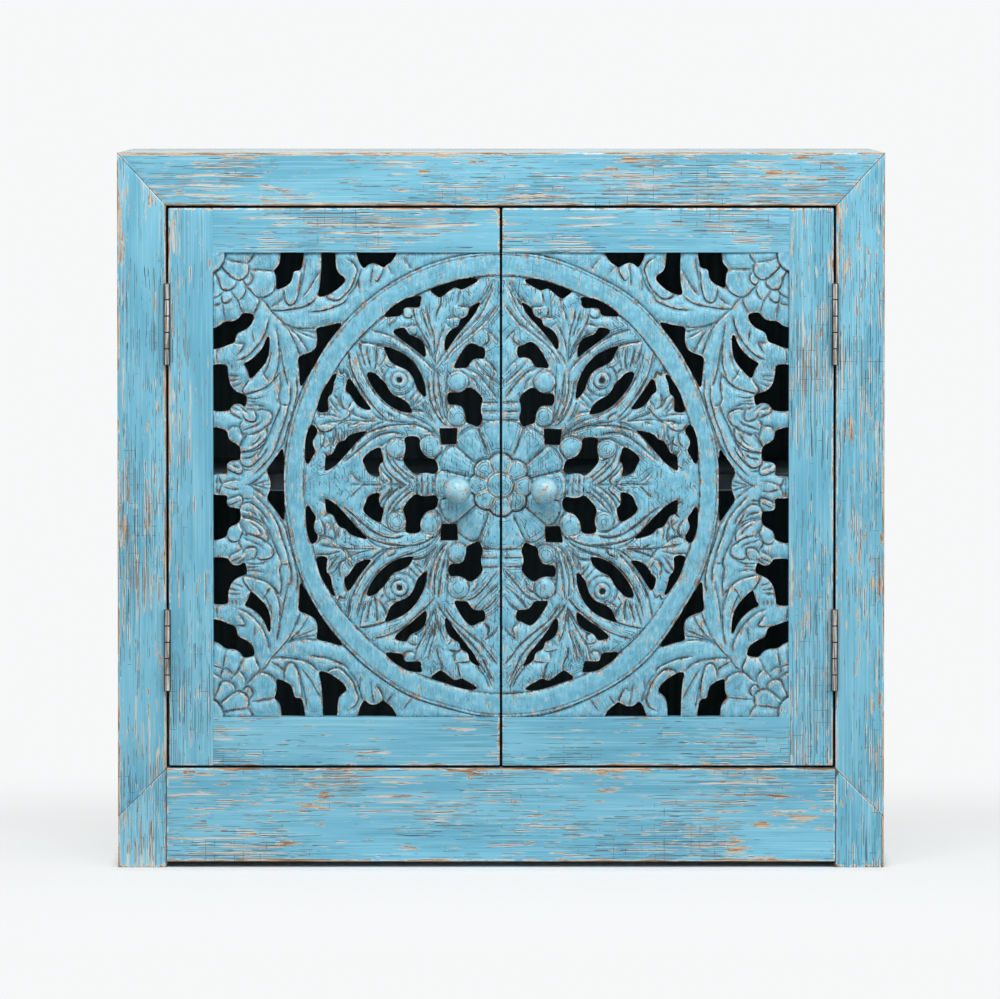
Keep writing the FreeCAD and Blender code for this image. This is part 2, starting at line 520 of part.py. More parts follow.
def right_panel_shape():
    """Pierced ground with the raised ring, the half flower and the corner quarter flowers, on the right."""
    meeting = value_of(DOOR_MEETING)
    field_width = value_of(FIELD_OUTER) - meeting
    middle = (value_of(FIELD_TOP) + value_of(FIELD_BOTTOM)) / 2
    half_height = (value_of(FIELD_TOP) - value_of(FIELD_BOTTOM)) / 2
    front = value_of(PANEL_FRONT)
    tongue = value_of("panel_tongue")
    across = field_width / (SEAM_PIXEL - STILE_PIXEL)
    upwards = half_height / (MIDDLE_PIXEL - FIELD_TOP_PIXEL)

    def point(pixel, up):
        """Place on the ground of a traced pixel, in the upper (+1) or lower (-1) half."""
        x = meeting + (SEAM_PIXEL - pixel[0]) * across
        z = middle + (MIDDLE_PIXEL - pixel[1]) * upwards * up
        return FreeCAD.Vector(x, front, z)

    def smooth(points):
        """Closed smooth line drawn by its corner points."""
        curve = Part.BSplineCurve()
        curve.buildFromPolesMultsKnots(points, [1] * (len(points) + 1), list(range(len(points) + 1)), True, 2)
        return Part.Wire(curve.toShape())

    def raised(wire, height):
        """Prism that stands on the ground inside a closed line."""
        return Part.Face(wire).extrude(FreeCAD.Vector(0, -height, 0))

    def oval(centre, radius_across, radius_up):
        """Ellipse on the ground."""
        long_up = radius_up > radius_across
        main = FreeCAD.Vector(0, 0, radius_up) if long_up else FreeCAD.Vector(radius_across, 0, 0)
        other = FreeCAD.Vector(radius_across, 0, 0) if long_up else FreeCAD.Vector(0, 0, radius_up)
        return Part.Wire(Part.Ellipse(centre + main, centre + other, centre).toShape())

    outer_x = meeting + field_width + tongue
    top = middle + half_height + tongue
    bottom = middle - half_height - tongue
    corners = [(meeting, bottom), (outer_x, bottom), (outer_x, top), (meeting, top), (meeting, bottom)]
    wires = [Part.makePolygon([FreeCAD.Vector(x, front, z) for x, z in corners])]
    for up in (1, -1):
        wires += [smooth([point(pixel, up) for pixel in opening]) for opening in OPENING_PIXELS]
    upper_half = [point(pixel, 1) for pixel in MIDDLE_OPENING_PIXELS]
    lower_half = [point(pixel, -1) for pixel in reversed(MIDDLE_OPENING_PIXELS)]
    wires.append(smooth(upper_half + lower_half))
    ground = Part.makeFace(wires, "Part::FaceMakerBullseye")
    ground = ground.extrude(FreeCAD.Vector(0, value_of("panel_thickness"), 0))

    centre = FreeCAD.Vector(meeting, front, middle)
    relief_height = value_of("relief_height")
    ring = raised(oval(centre, RING_OUTER_PIXELS[0] * across, RING_OUTER_PIXELS[1] * upwards), relief_height)
    ring = ring.cut(raised(oval(centre, RING_INNER_PIXELS[0] * across, RING_INNER_PIXELS[1] * upwards),
                           relief_height))
    flower = oval(centre, FLOWER_RADIUS_PIXELS * across, FLOWER_RADIUS_PIXELS * upwards)
    boss = oval(centre, BOSS_RADIUS_PIXELS * across, BOSS_RADIUS_PIXELS * upwards)
    reliefs = [ring, raised(flower, relief_height), raised(boss, value_of("boss_height"))]
    for up in (1, -1):
        corner = FreeCAD.Vector(meeting + field_width, front, middle + up * half_height)
        reliefs.append(raised(oval(corner, CORNER_RADIUS_PIXELS * across, CORNER_RADIUS_PIXELS * upwards),
                              relief_height))
    field = Part.makeBox(field_width, value_of("boss_height"), 2 * half_height,
                         FreeCAD.Vector(meeting, front - value_of("boss_height"), middle - half_height))
    solid = ground
    for relief in reliefs:
        solid = solid.fuse(relief.common(field))
    hole = Part.makeCylinder(value_of("knob_screw_diameter / 2 + screw_clearance"),
                             value_of("panel_thickness + relief_height + 2 * cut_overrun"),
                             FreeCAD.Vector(value_of("knob_offset"), value_of(f"{PANEL_BACK} + cut_overrun"),
                                            value_of("knob_height")),
                             FreeCAD.Vector(0, -1, 0))
    return solid.cut(hole).removeSplitter()


def carved_panel(side_name, side, right_shape):
    """The carved panel of a door: the left one mirrors the right one."""
    panel = doc.addObject("Part::Feature", f"{side_name}_carved_panel")
    panel.Shape = right_shape if side > 0 else right_shape.mirror(FreeCAD.Vector(), FreeCAD.Vector(1, 0, 0))
    panel.Placement = FreeCAD.Placement()
    return node(f"{side_name}_carved_panel", panel)


def knob(side_name, side):
    """Ball on a short neck, held by a screw from behind the panel."""
    x = at_side(side, "knob_offset")
    ball = doc.addObject("Part::Sphere", f"{side_name}_knob_ball")
    set_sizes(ball, Radius="knob_diameter / 2")
    ball_y = f"({FRONT} - knob_reach + knob_diameter / 2)"
    place(ball, x, ball_y, "knob_height")
    seat = f"({PANEL_FRONT} - relief_height)"
    neck = rod(f"{side_name}_knob_neck", "+y", "knob_neck_diameter", f"{seat} - {ball_y}", x, ball_y,
               "knob_height")
    shank_length = "(panel_thickness + relief_height + knob_screw_bite)"
    shank = rod(f"{side_name}_knob_shank", "-y", "knob_screw_diameter", shank_length, x, PANEL_BACK,
                "knob_height")
    hole = rod(f"{side_name}_knob_hole", "-y", "knob_screw_diameter + 2 * screw_clearance",
               f"{shank_length} + screw_clearance", x, PANEL_BACK, "knob_height")
    head = rod(f"{side_name}_knob_screw_head", "+y", "knob_screw_head_diameter", "knob_screw_head_height",
               x, PANEL_BACK, "knob_height")
    blank = fused(f"{side_name}_knob_blank", [ball, neck])
    node(f"{side_name}_knob", cut(f"{side_name}_knob", blank, [hole]))
    node(f"{side_name}_knob_screw", fused(f"{side_name}_knob_screw", [shank, head]))


def door(side_name, side, hinges, right_panel):
    """Stile, two rails, carved panel, knob, strike plate and hinge screws of a door."""
    own = [hinge for hinge in hinges if hinge["side"] == side_name]
    screws = [screw for hinge in own for screw in hinge["door_screws"]]
    stile_cuts = [hole for hinge in own for hole in hinge["door_holes"]]
    groove_depth = (f"{PANEL_FRONT} - joint_clearance", f"{PANEL_BACK} + joint_clearance")
    reach = "(panel_tongue + joint_clearance)"
    stile_cuts.append(board(f"{side_name}_stile_groove",
                            on_side(side, f"{FIELD_OUTER} - cut_overrun", f"{FIELD_OUTER} + {reach}"),
                            groove_depth, (f"{FIELD_BOTTOM} - {reach}", f"{FIELD_TOP} + {reach}")))
    strike_across = on_side(side, "catch_offset", "catch_offset + catch_width")
    strike_height = (f"({STOP_UNDER} - catch_height)", STOP_UNDER)
    strike_depth = (f"{FRAME_BACK} - strike_thickness", FRAME_BACK)
    strike_seat = board(f"{side_name}_strike_seat",
                        (f"{strike_across[0]} - joint_clearance", f"{strike_across[1]} + joint_clearance"),
                        (strike_depth[0], f"{FRAME_BACK} + cut_overrun"),
                        (f"{strike_height[0]} - joint_clearance", f"{STOP_UNDER} + joint_clearance"))
    top_groove = (f"{FIELD_TOP} - cut_overrun", f"{FIELD_TOP} + {reach}")
    bottom_groove = (f"{FIELD_BOTTOM} - {reach}", f"{FIELD_BOTTOM} + cut_overrun")
    rails = (("top", FIELD_TOP, DOOR_TOP, top_groove, [strike_seat]),
             ("bottom", DOOR_BOTTOM, FIELD_BOTTOM, bottom_groove, []))
    for rail_name, low, high, groove_height, other_cuts in rails:
        prefix = f"{side_name}_{rail_name}_rail"

        def tenon(suffix, clearance, start):
            """Tenon on the end of the rail, or its mortise with clearance."""
            across = on_side(side, start, f"{FIELD_OUTER} + tenon_length + {clearance}")
            return board(f"{prefix}_{suffix}", across,
                         (f"{MID_THICKNESS} - tenon_thickness / 2 - {clearance}",
                          f"{MID_THICKNESS} + tenon_thickness / 2 + {clearance}"),
                         (f"{low} + tenon_shoulder - {clearance}", f"{high} - tenon_shoulder + {clearance}"))

        rail = board(f"{prefix}_blank", on_side(side, DOOR_MEETING, FIELD_OUTER), (FRONT, FRAME_BACK),
                     (low, high))
        groove = board(f"{prefix}_groove",
                       on_side(side, f"{DOOR_MEETING} - cut_overrun", f"{FIELD_OUTER} + cut_overrun"),
                       groove_depth, groove_height)
        body = fused(f"{prefix}_body", [rail, tenon("tenon", "0", FIELD_OUTER)])
        label = f"{side_name}_door_{rail_name}_rail"
        node(label, cut(label, body, [groove] + other_cuts))
        stile_cuts.append(tenon("mortise", "joint_clearance", f"{FIELD_OUTER} - cut_overrun"))
    stile = board(f"{side_name}_door_stile_blank", on_side(side, FIELD_OUTER, DOOR_OUTER),
                  (FRONT, FRAME_BACK), (DOOR_BOTTOM, DOOR_TOP))
    node(f"{side_name}_door_stile", cut(f"{side_name}_door_stile", stile, stile_cuts))
    node(f"{side_name}_strike", board(f"{side_name}_strike", strike_across, strike_depth, strike_height))
    node(f"{side_name}_door_hinge_screws", group(f"{side_name}_door_hinge_screws", screws))
    carved_panel(side_name, side, right_panel)
    knob(side_name, side)


all_hinges = build_hinges()
panel_shape = right_panel_shape()
face_frame(all_hinges)
case()
for door_name, door_side in SIDES:
    door(door_name, door_side, all_hinges, panel_shape)
doc.recompute()

faults = [item.Name for item in doc.Objects if "Invalid" in item.State or "Error" in item.State]
faults += [piece.Label for piece in nodes if piece.Shape.isNull() or not piece.Shape.isValid()]
if faults:
    raise RuntimeError("these pieces failed: " + ", ".join(faults))

os.makedirs("parts", exist_ok=True)
for piece in nodes:
    piece.Shape.exportStep(f"parts/{piece.Label}.step")
    box = piece.Shape.BoundBox
    spans = f"{box.XLength:.1f} x {box.YLength:.1f} x {box.ZLength:.1f}"
    print(f"{piece.Label}: {len(piece.Shape.Solids)} solids, {spans}")
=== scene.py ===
import bpy
import numpy as np
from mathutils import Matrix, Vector
from mathutils.geometry import delaunay_2d_cdt


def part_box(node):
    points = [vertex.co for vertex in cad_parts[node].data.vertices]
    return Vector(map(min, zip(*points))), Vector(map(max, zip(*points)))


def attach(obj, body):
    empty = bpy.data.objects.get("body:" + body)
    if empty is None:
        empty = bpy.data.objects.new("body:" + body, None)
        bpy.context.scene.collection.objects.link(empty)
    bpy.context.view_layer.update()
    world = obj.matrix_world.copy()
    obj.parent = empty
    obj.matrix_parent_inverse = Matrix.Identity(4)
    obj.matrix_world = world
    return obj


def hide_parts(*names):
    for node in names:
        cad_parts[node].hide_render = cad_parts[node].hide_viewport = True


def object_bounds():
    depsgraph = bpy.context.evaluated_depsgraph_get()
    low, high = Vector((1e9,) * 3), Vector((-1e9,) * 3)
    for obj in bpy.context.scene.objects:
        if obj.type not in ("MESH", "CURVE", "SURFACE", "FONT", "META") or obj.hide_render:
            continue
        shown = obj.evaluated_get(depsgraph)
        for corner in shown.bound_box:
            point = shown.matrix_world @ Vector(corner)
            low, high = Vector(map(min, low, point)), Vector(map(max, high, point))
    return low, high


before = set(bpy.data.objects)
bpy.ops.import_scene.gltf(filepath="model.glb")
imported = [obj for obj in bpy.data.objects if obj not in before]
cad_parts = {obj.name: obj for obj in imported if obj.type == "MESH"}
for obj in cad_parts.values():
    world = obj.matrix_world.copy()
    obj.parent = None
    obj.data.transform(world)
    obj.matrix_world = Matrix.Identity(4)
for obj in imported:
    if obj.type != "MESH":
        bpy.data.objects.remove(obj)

# Carved two-door cabinet in worn sky blue paint. Metres, +Z up, doors facing -Y.

cad_low, cad_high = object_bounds()
MM = 0.001
SIDES = (("left", -1), ("right", 1))
X_AXIS, Y_AXIS, Z_AXIS = 0, 1, 2
SHARP_ANGLE = np.radians(48)


def corners_of(node):
    """Lowest and highest corner of a node, as arrays."""
    low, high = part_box(node)
    return np.array(low), np.array(high)


# Meshes

def mesh_of(name, points, face_sets, marks=(), inside_faces=None, unrolled=None):
    """Mesh from an array of points and arrays of faces, each array holding faces of one corner count.

    marks are (name, values) pairs, one value per point. inside_faces marks the faces that take the second
    finish. unrolled gives each corner of each face its place on the flat pattern.
    """
    mesh = bpy.data.meshes.new(name)
    mesh.vertices.add(len(points))
    mesh.vertices.foreach_set("co", np.asarray(points, np.float32).ravel())
    corner_counts = np.concatenate([np.full(len(faces), faces.shape[1]) for faces in face_sets])
    corners = np.concatenate([faces.ravel() for faces in face_sets])
    mesh.loops.add(len(corners))
    mesh.loops.foreach_set("vertex_index", corners.astype(np.int32))
    mesh.polygons.add(len(corner_counts))
    first_corners = np.cumsum(corner_counts) - corner_counts
    mesh.polygons.foreach_set("loop_start", first_corners.astype(np.int32))
    if inside_faces is not None:
        mesh.polygons.foreach_set("material_index", inside_faces.astype(np.int32))
    if unrolled is not None:
        flat_pattern = mesh.uv_layers.new(name="unrolled")
        flat_pattern.uv.foreach_set("vector", np.asarray(unrolled, np.float32).ravel())
    for mark_name, values in marks:
        layer = mesh.attributes.new(mark_name, "FLOAT", "POINT")
        layer.data.foreach_set("value", np.asarray(values, np.float32).ravel())
    mesh.update(calc_edges=True)
    mesh.validate()
    mesh.polygons.foreach_set("use_smooth", np.ones(len(corner_counts), bool))
    mesh.set_sharp_from_angle(angle=SHARP_ANGLE)
    return mesh


def add_piece(name, shape, body, node, finishes):
    """Object at the origin that rides a body, stands for a node and wears its finishes."""
    mesh = mesh_of(name, *shape)
    piece = bpy.data.objects.new(name, mesh)
    bpy.context.scene.collection.objects.link(piece)
    for finish in finishes:
        mesh.materials.append(finish)
    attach(piece, body)
    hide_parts(node)


def ribbons(rows, columns):
    """Quads of a grid that closes on itself along its columns."""
    row, column = np.meshgrid(np.arange(rows - 1), np.arange(columns), indexing="ij")
    here = row * columns + column
    beside = row * columns + (column + 1) % columns
    return np.stack([here, beside, beside + columns, here + columns], -1).reshape(-1, 4)


# Boards: a rounded section carried along the grain

ARRIS = 1.5 * MM
ARRIS_MEAN = 1.05
ARRIS_SWING = 0.85
ARRIS_RANGE = (0.45 * ARRIS, 2.4 * ARRIS)
JOINT_ARRIS = 0.35 * MM
ARC_STEPS = 4
END_STEPS = 4
BORDER = 4 * MM
CAP_INSET = 3 * MM
QUIET = 9 * MM
LEAST_PLACES = 3
SIDE_STEP = 14 * MM
GRAIN_STEP = 9 * MM
WAVE_COUNT = 5
WAVELENGTHS = np.geomspace(0.25, 0.03, WAVE_COUNT)
PATTERN_SHIFT = np.array([3.17, 1.31])
CORNER_SIGNS = np.array([(1, -1), (1, 1), (-1, 1), (-1, -1)])
SIDE_RUNS = np.array([(0, 1), (-1, 0), (0, -1), (1, 0)])
INSIDE_OF = {"+across": 0, "+through": 1, "-across": 2, "-through": 3}
LOW_ACROSS, HIGH_ACROSS = (2, 3), (0, 1)
LOW_THROUGH, HIGH_THROUGH = (0, 3), (1, 2)


def wander(place, seed):
    """Smooth wandering value from -1 to 1 along a line: the mean of sines with random phases."""
    phases = np.random.default_rng(seed).uniform(0, 2 * np.pi, WAVE_COUNT)
    return np.sin(2 * np.pi * place[..., None] / WAVELENGTHS + phases).mean(-1)


def spread(length):
    """Places along a flat side between its two borders, closer together near the ends."""
    count = LEAST_PLACES + int(length / SIDE_STEP)
    return length / 2 * (1 + np.sin(np.linspace(-np.pi / 2, np.pi / 2, count)))


def section_plan(width, thickness):
    """The section's points, going round it: the side that each belongs to, the angle at which it faces
    outwards, and for points on the flat sides the place along the side. Points on the rounded corners have
    the place -1."""
    plan = []
    for side, length in enumerate((thickness, width, thickness, width)):
        for step in range(ARC_STEPS + 1):
            plan.append((side, np.pi / 2 * (side - 1 + step / ARC_STEPS), -1.0))
        for place in BORDER + spread(length - 2 * BORDER):
            plan.append((side, np.pi / 2 * side, place))
    return np.array(plan)


def end_rounding(length, end_arris):
    """Places of the sections from the board's start and from its end, and how far each section is drawn in:
    by a quarter circle near the ends, and further on the caps."""
    stations = np.linspace(0, 1, LEAST_PLACES + int(length / GRAIN_STEP))
    turn = np.linspace(0, np.pi / 2, END_STEPS)
    tail = [radius * (1 - np.cos(turn)) for radius in end_arris]
    draw_in = [radius * (1 - np.sin(turn)) for radius in end_arris]
    middle = end_arris[0] + (length - sum(end_arris)) * stations[1:-1]
    from_start = np.concatenate([[0.0], tail[0], middle])
    from_end = np.concatenate([tail[1][::-1], [0.0]])
    inset = np.concatenate([[CAP_INSET + end_arris[0]], draw_in[0], 0 * middle, draw_in[1][::-1],
                            [CAP_INSET + end_arris[1]]])
    return from_start, from_end, inset


def board(low, high, grain, starts, ends, seed, inside_side=None, slope_way=0, joint_ends=(False, False),
          quiet_edges=(), quiet_spans=(), joint_line=True, wear=0.0):
    """Rounded board between two corners of its box.

    Its section is a rectangle with quarter circle corners whose radius wanders along the grain. The section
    is carried along the grain axis and drawn in by a quarter circle at each end, then closed with a cap.
    starts and ends give the ends' places along the grain at the low and the high edge, so that an end may
    slope; slope_way says whether those edges lie across (0) or through (1) the board. Along the quiet
    spans, the quiet edges meet another board: they are nearly sharp there and aren't worn. Points carry
    their distance from the nearest worn edge as the mark edge_mm, and from the nearest jointed end or quiet
    edge as joint_mm where the joints show as a dark line. The mark wear says how much more of the paint is
    worn through than on the other boards. The flat pattern is the board unrolled, along the grain and round
    the section, moved on for each board so that no two are alike.
    """
    across = (grain + 1) % 3
    through = (grain + 2) % 3
    width = high[across] - low[across]
    thickness = high[through] - low[through]
    half = np.array([width, thickness]) / 2
    side, angle, place = section_plan(width, thickness).T
    side = side.astype(int)
    next_side = (side + 1) % 4
    flat = place >= 0
    outward = np.stack([np.cos(angle), np.sin(angle)], -1)
    corner = CORNER_SIGNS[side] * half

    # the rounding of the four long edges
    length = np.mean(ends) - np.mean(starts)
    end_arris = [JOINT_ARRIS if joint else ARRIS for joint in joint_ends]
    from_start, from_end, inset = end_rounding(length, end_arris)
    reached = np.concatenate([from_start, length - from_end])
    radius = np.stack([ARRIS * (ARRIS_MEAN + ARRIS_SWING * wander(reached, seed * 4 + edge))
                       for edge in range(4)], -1)
    radius = np.clip(radius, *ARRIS_RANGE)
    quiet = np.zeros(radius.shape, bool)
    grain_place = np.mean(starts) + reached
    for span_start, span_end in quiet_spans:
        quiet[:, list(quiet_edges)] |= ((grain_place > span_start) & (grain_place < span_end))[:, None]
    radius = np.where(quiet, JOINT_ARRIS, radius)[:, side]

    # the sections, and their places along the grain
    arc_points = corner + radius[..., None] * (outward - CORNER_SIGNS[side])
    flat_points = corner + SIDE_RUNS[side] * place[:, None]
    outline = np.where(flat[:, None], flat_points, arc_points)
    section = outline - inset[:, None, None] * outward
    for cap in (0, -1):
        section[cap] = outline[cap] * (1 - inset[cap] / half)
    share = section[..., slope_way] / (2 * half[slope_way]) + 0.5
    start_line = starts[0] + (starts[1] - starts[0]) * share
    end_line = ends[0] + (ends[1] - ends[0]) * share
    rows = len(from_start)
    stretch = (end_line - start_line) / length
    along = np.concatenate([start_line[:rows] + from_start[:, None] * stretch[:rows],
                            end_line[rows:] - from_end[:, None] * stretch[rows:]])
    points = np.empty(section.shape[:2] + (3,))
    points[..., grain] = along
    points[..., across] = (low[across] + high[across]) / 2 + section[..., 0]
    points[..., through] = (low[through] + high[through]) / 2 + section[..., 1]

    # the marks
    side_length = np.array([thickness, width, thickness, width])[side]
    to_corner = np.where(flat, place, 0)
    to_next = np.where(flat, side_length - place, QUIET)
    quiet_corner = quiet[:, side]
    quiet_next = quiet[:, next_side]
    edge = np.minimum(np.where(quiet_corner, QUIET, to_corner), np.where(quiet_next, QUIET, to_next))
    joint = np.minimum(np.where(quiet_corner, to_corner, QUIET), np.where(quiet_next, to_next, QUIET))
    for end, reach in enumerate((reached, length - reached)):
        if joint_ends[end]:
            joint = np.minimum(joint, np.maximum(reach, 0)[:, None])
        else:
            edge = np.minimum(edge, np.maximum(reach - end_arris[end], 0)[:, None])
    edge[[0, -1]] = CAP_INSET
    joint[[0, -1]] = QUIET
    if not joint_line:
        joint[:] = QUIET
    marks = (("edge_mm", edge / MM), ("joint_mm", joint / MM), ("wear", np.full(edge.shape, wear)))

    # the faces and the flat pattern
    count = len(side)
    total = len(points)
    walls = ribbons(total, count)
    first_cap = np.arange(count)[::-1][None]
    last_cap = (total - 1) * count + np.arange(count)[None]
    inside = np.zeros(len(walls) + 2, bool)
    if inside_side is not None:
        inside[:len(walls)] = np.tile(side == inside_side, total - 1)
    around = section[total // 2]
    steps = np.hypot(*np.diff(around, axis=0, append=around[:1]).T)
    girth = np.concatenate([[0], np.cumsum(steps)])
    beside = np.roll(along, -1, 1)
    wall_along = np.stack([along[:-1], beside[:-1], beside[1:], along[1:]], -1)
    wall_girth = np.stack([girth[:-1], girth[1:], girth[1:], girth[:-1]], -1)
    wall_pattern = np.stack([wall_along, np.broadcast_to(wall_girth, wall_along.shape)], -1).reshape(-1, 2)
    unrolled = np.concatenate([wall_pattern, section[0][::-1], section[-1]]) + PATTERN_SHIFT * seed
    return points.reshape(-1, 3), (walls, first_cap, last_cap), marks, inside, unrolled


def add_board(node, body, grain, finishes, seed, starts=None, ends=None, inside=None, slot="painted_wood",
              across=None, back_inset=0.0, **form):
    """A board that takes the place of a node and fills its box, or less of it: across gives other ends in
    x. inside names the side that takes the second finish, and form holds what else board() is told."""
    low, high = corners_of(node)
    if across is not None:
        low[X_AXIS], high[X_AXIS] = across
    high[Y_AXIS] -= back_inset
    starts = (low[grain], low[grain]) if starts is None else starts
    ends = (high[grain], high[grain]) if ends is None else ends
    shape = board(low, high, grain, starts, ends, seed, INSIDE_OF.get(inside), **form)
    add_piece(f"painted_{node}", shape, body, node, finishes)


# Carving, traced in the picture's pixels over its upper left quarter

SEAM_PIXEL = 502.5
STILE_PIXEL = 213
MIDDLE_PIXEL = 484.5
FIELD_TOP_PIXEL = 251

OPENINGS = (
    # between the ring and the top rail
    ((282, 246), (305, 246), (303.5, 260), (301.5, 269), (294, 269), (293, 276), (291.5, 280.5),
     (287, 284.5), (280, 287.5), (277, 288), (277.5, 280), (277, 274), (274.5, 269.5), (279, 265.5),
     (281.5, 260.5)),
    ((323, 246), (336, 246), (336.5, 264.5), (338.5, 272), (347.5, 277.5), (342.5, 284), (336.5, 289),
     (328, 294), (318.5, 296), (321, 287), (322, 279), (323, 265.5)),
    ((357, 246), (369.5, 246), (389, 246), (401, 246), (394, 259.5), (387.5, 263.5), (385.5, 266),
     (383, 264.5), (376, 261), (369.5, 262.5), (366, 266.5), (364, 265.5), (360.5, 259.5)),
    # between the ring and the stile
    ((206, 329), (218.5, 326.5), (225, 320.5), (233.5, 321), (240, 317.5), (243, 312), (249, 312.5),
     (253.5, 313.5), (254, 317), (251, 324), (244, 329), (236, 332), (235, 341.5), (227.5, 343.5),
     (218.5, 347.5), (206, 348.5)),
    ((269.5, 335), (270, 341.5), (269, 353.5), (265.5, 362), (260.5, 368), (253, 376), (250, 377.5),
     (249, 372), (246.5, 366), (244, 363), (251, 360), (260.5, 351.5), (265.5, 343.5), (267.5, 337.5)),
    ((206, 364.5), (227.5, 363), (227.5, 371), (229, 382.5), (234.5, 390.5), (244, 394), (247, 396),
     (246, 402.5), (244.5, 406), (240.5, 402.5), (233.5, 403), (230, 407), (228.5, 410.5), (206, 410.5)),
    ((206, 425), (227, 429.5), (227.5, 435.5), (229.5, 440.5), (237, 444), (239.5, 447), (240.5, 451),
     (240, 456), (239.5, 459.5), (231.5, 460), (227, 462), (226, 467.5), (227.5, 473.5), (218.5, 473),
     (206, 475.5)),
    ((317, 327), (328, 325.5), (342.5, 321.5), (341.5, 324.5), (331, 337.5), (323, 349.5), (316, 363),
     (307.5, 375.5), (302.5, 385.5), (301, 383.5), (300.5, 368), (298.5, 356), (307.5, 353.5),
     (316, 349.5), (319, 342.5), (318.5, 333)),
    # inside the ring, round the three-lobed leaves and the stems
    ((432, 289), (437.5, 286.5), (447.5, 283), (460, 279), (470, 277), (481.5, 278), (476.5, 282),
     (468, 286), (464, 288.5), (457, 285), (451.5, 289), (445.5, 294), (441.5, 296.5), (436.5, 292.5)),
    ((385, 316), (391, 308.5), (398.5, 303), (408.5, 297), (417, 295.5), (423.5, 295), (422, 299.5),
     (421.5, 306.5), (411.5, 305.5), (404.5, 306.5), (403.5, 314.5), (394, 315)),
    ((393.5, 329.5), (405.5, 326.5), (407.5, 328.5), (410.5, 334), (419, 336.5), (425, 341.5),
     (427, 347.5), (427.5, 353.5), (426.5, 356.5), (421, 351.5), (410.5, 343.5), (400.5, 336.5)),
    ((482.5, 301), (481.5, 303.5), (476.5, 313.5), (468, 323), (460, 333), (452.5, 343.5), (448.5, 350),
     (447, 347.5), (447.5, 339.5), (450.5, 332), (456, 327.5), (461.5, 326), (462.5, 318), (471, 315.5),
     (472, 306.5)),
    ((455.5, 367.5), (461, 357), (467, 347.5), (473, 342), (477.5, 343.5), (481.5, 346), (487.5, 347),
     (487, 358), (481.5, 357), (475.5, 358), (472, 362), (469.5, 367), (463, 366.5)),
    ((450, 391), (458, 393), (466, 391), (471.5, 386), (479.5, 391), (485.5, 398.5), (483.5, 403.5),
     (482.5, 410), (485, 418), (483, 422.5), (480.5, 426.5), (475.5, 424), (468.5, 422), (468.5, 414),
     (465, 405.5), (458, 403.5), (450, 404)),
    ((442, 428), (442.5, 428), (458.5, 428), (459, 428), (458.5, 443), (458, 443.5), (444.5, 444),
     (444, 443.5)),
    ((385, 345.5), (394, 348), (406.5, 353.5), (417, 363), (424, 375.5), (427, 386.5), (428, 398),
     (421, 390.5), (419, 387.5), (416, 377.5), (410.5, 369.5), (402.5, 366), (395.5, 363), (391, 359),
     (388, 350.5)),
    ((367.5, 371), (377, 372.5), (381, 377.5), (386, 381.5), (390, 388.5), (394, 394.5), (401.5, 397),
     (409.5, 402), (412.5, 408), (414, 412), (406.5, 411.5), (398.5, 409), (390, 404), (381, 395.5),
     (372.5, 384)),
    ((349.5, 377), (346.5, 390.5), (351, 392.5), (354, 397.5), (358.5, 404.5), (365.5, 408.5), (373, 409),
     (369.5, 404.5), (360.5, 392.5), (353, 380)),
    ((336.5, 372), (328, 383.5), (323, 392.5), (319, 405), (318, 411.5), (329.5, 411.5), (328.5, 403.5),
     (328.5, 395.5), (333.5, 392), (334.5, 381), (337.5, 375)),
    ((312, 423.5), (316.5, 426.5), (318.5, 432), (313.5, 438.5), (313, 444.5), (316.5, 451), (312, 457),
     (309.5, 463), (306.5, 463), (306, 447), (307.5, 434.5)),
    ((327, 456), (329.5, 455.5), (334, 454), (337.5, 446), (340.5, 441.5), (346.5, 440.5), (350.5, 434.5),
     (365, 431), (368.5, 431), (360.5, 437.5), (351, 449), (343.5, 457), (337.5, 464), (326, 471.5),
     (326.5, 465.5)),
    ((381.5, 446), (382.5, 452), (385, 460.5), (381, 463), (379.5, 469.5), (381.5, 477.5), (369.5, 473.5),
     (367, 465.5), (363.5, 459.5), (370.5, 452)),
    ((406, 437.5), (412.5, 435.5), (421.5, 437), (421, 444.5), (423, 451), (429, 458), (437.5, 459),
     (440.5, 468.5), (437, 474), (430, 472), (422, 472.5), (418.5, 475.5), (411.5, 469.5), (404.5, 460),
     (407.5, 453), (408, 444.5)),
    # across the middle of the door, beside the ring
    ((284, 470), (284, 446), (279, 454), (270.5, 465.5), (267, 471), (271.5, 479.5), (271.5, 489.5),
     (267, 498), (270.5, 503.5), (279, 515), (284, 523), (284, 499)),
)

CORNER_FLOWER_LINES = (
    ((225, 251), (224, 257), (220.5, 264), (215, 270), (210, 273.5)),
    ((224, 257), (233, 260), (247.5, 262)),
    ((254, 251), (252, 257), (247.5, 262.5)),
    ((220.5, 264), (227, 271), (236, 278), (243, 278), (248.5, 272.5), (249, 266), (247.5, 262)),
    ((215, 270), (219, 278), (221, 285), (223.5, 288.5), (230, 288.5), (235.5, 284), (236, 278)),
    ((223.5, 288.5), (221, 293), (212, 298)),
    ((231, 288.5), (234, 294), (238.5, 299.5), (241, 307), (244, 312.5)),
    ((243, 278), (247, 283.5), (251, 281.5), (253, 276), (249, 270)),
    ((245.5, 285), (251, 289), (256, 294.5), (261, 296.5), (268, 294.5), (274, 290), (276.5, 284)),
    ((252, 268.5), (262, 269), (275, 270)),
    ((222, 294), (223, 301), (228, 301), (233, 296)),
    ((223, 301), (224, 310), (225.5, 319)),
    ((212, 305.5), (220, 303), (223, 301)),
    ((238.5, 299.5), (243, 296), (246, 290), (245.5, 285)),
    ((254, 312.5), (258, 305), (259.5, 299), (256, 294.5)),
)
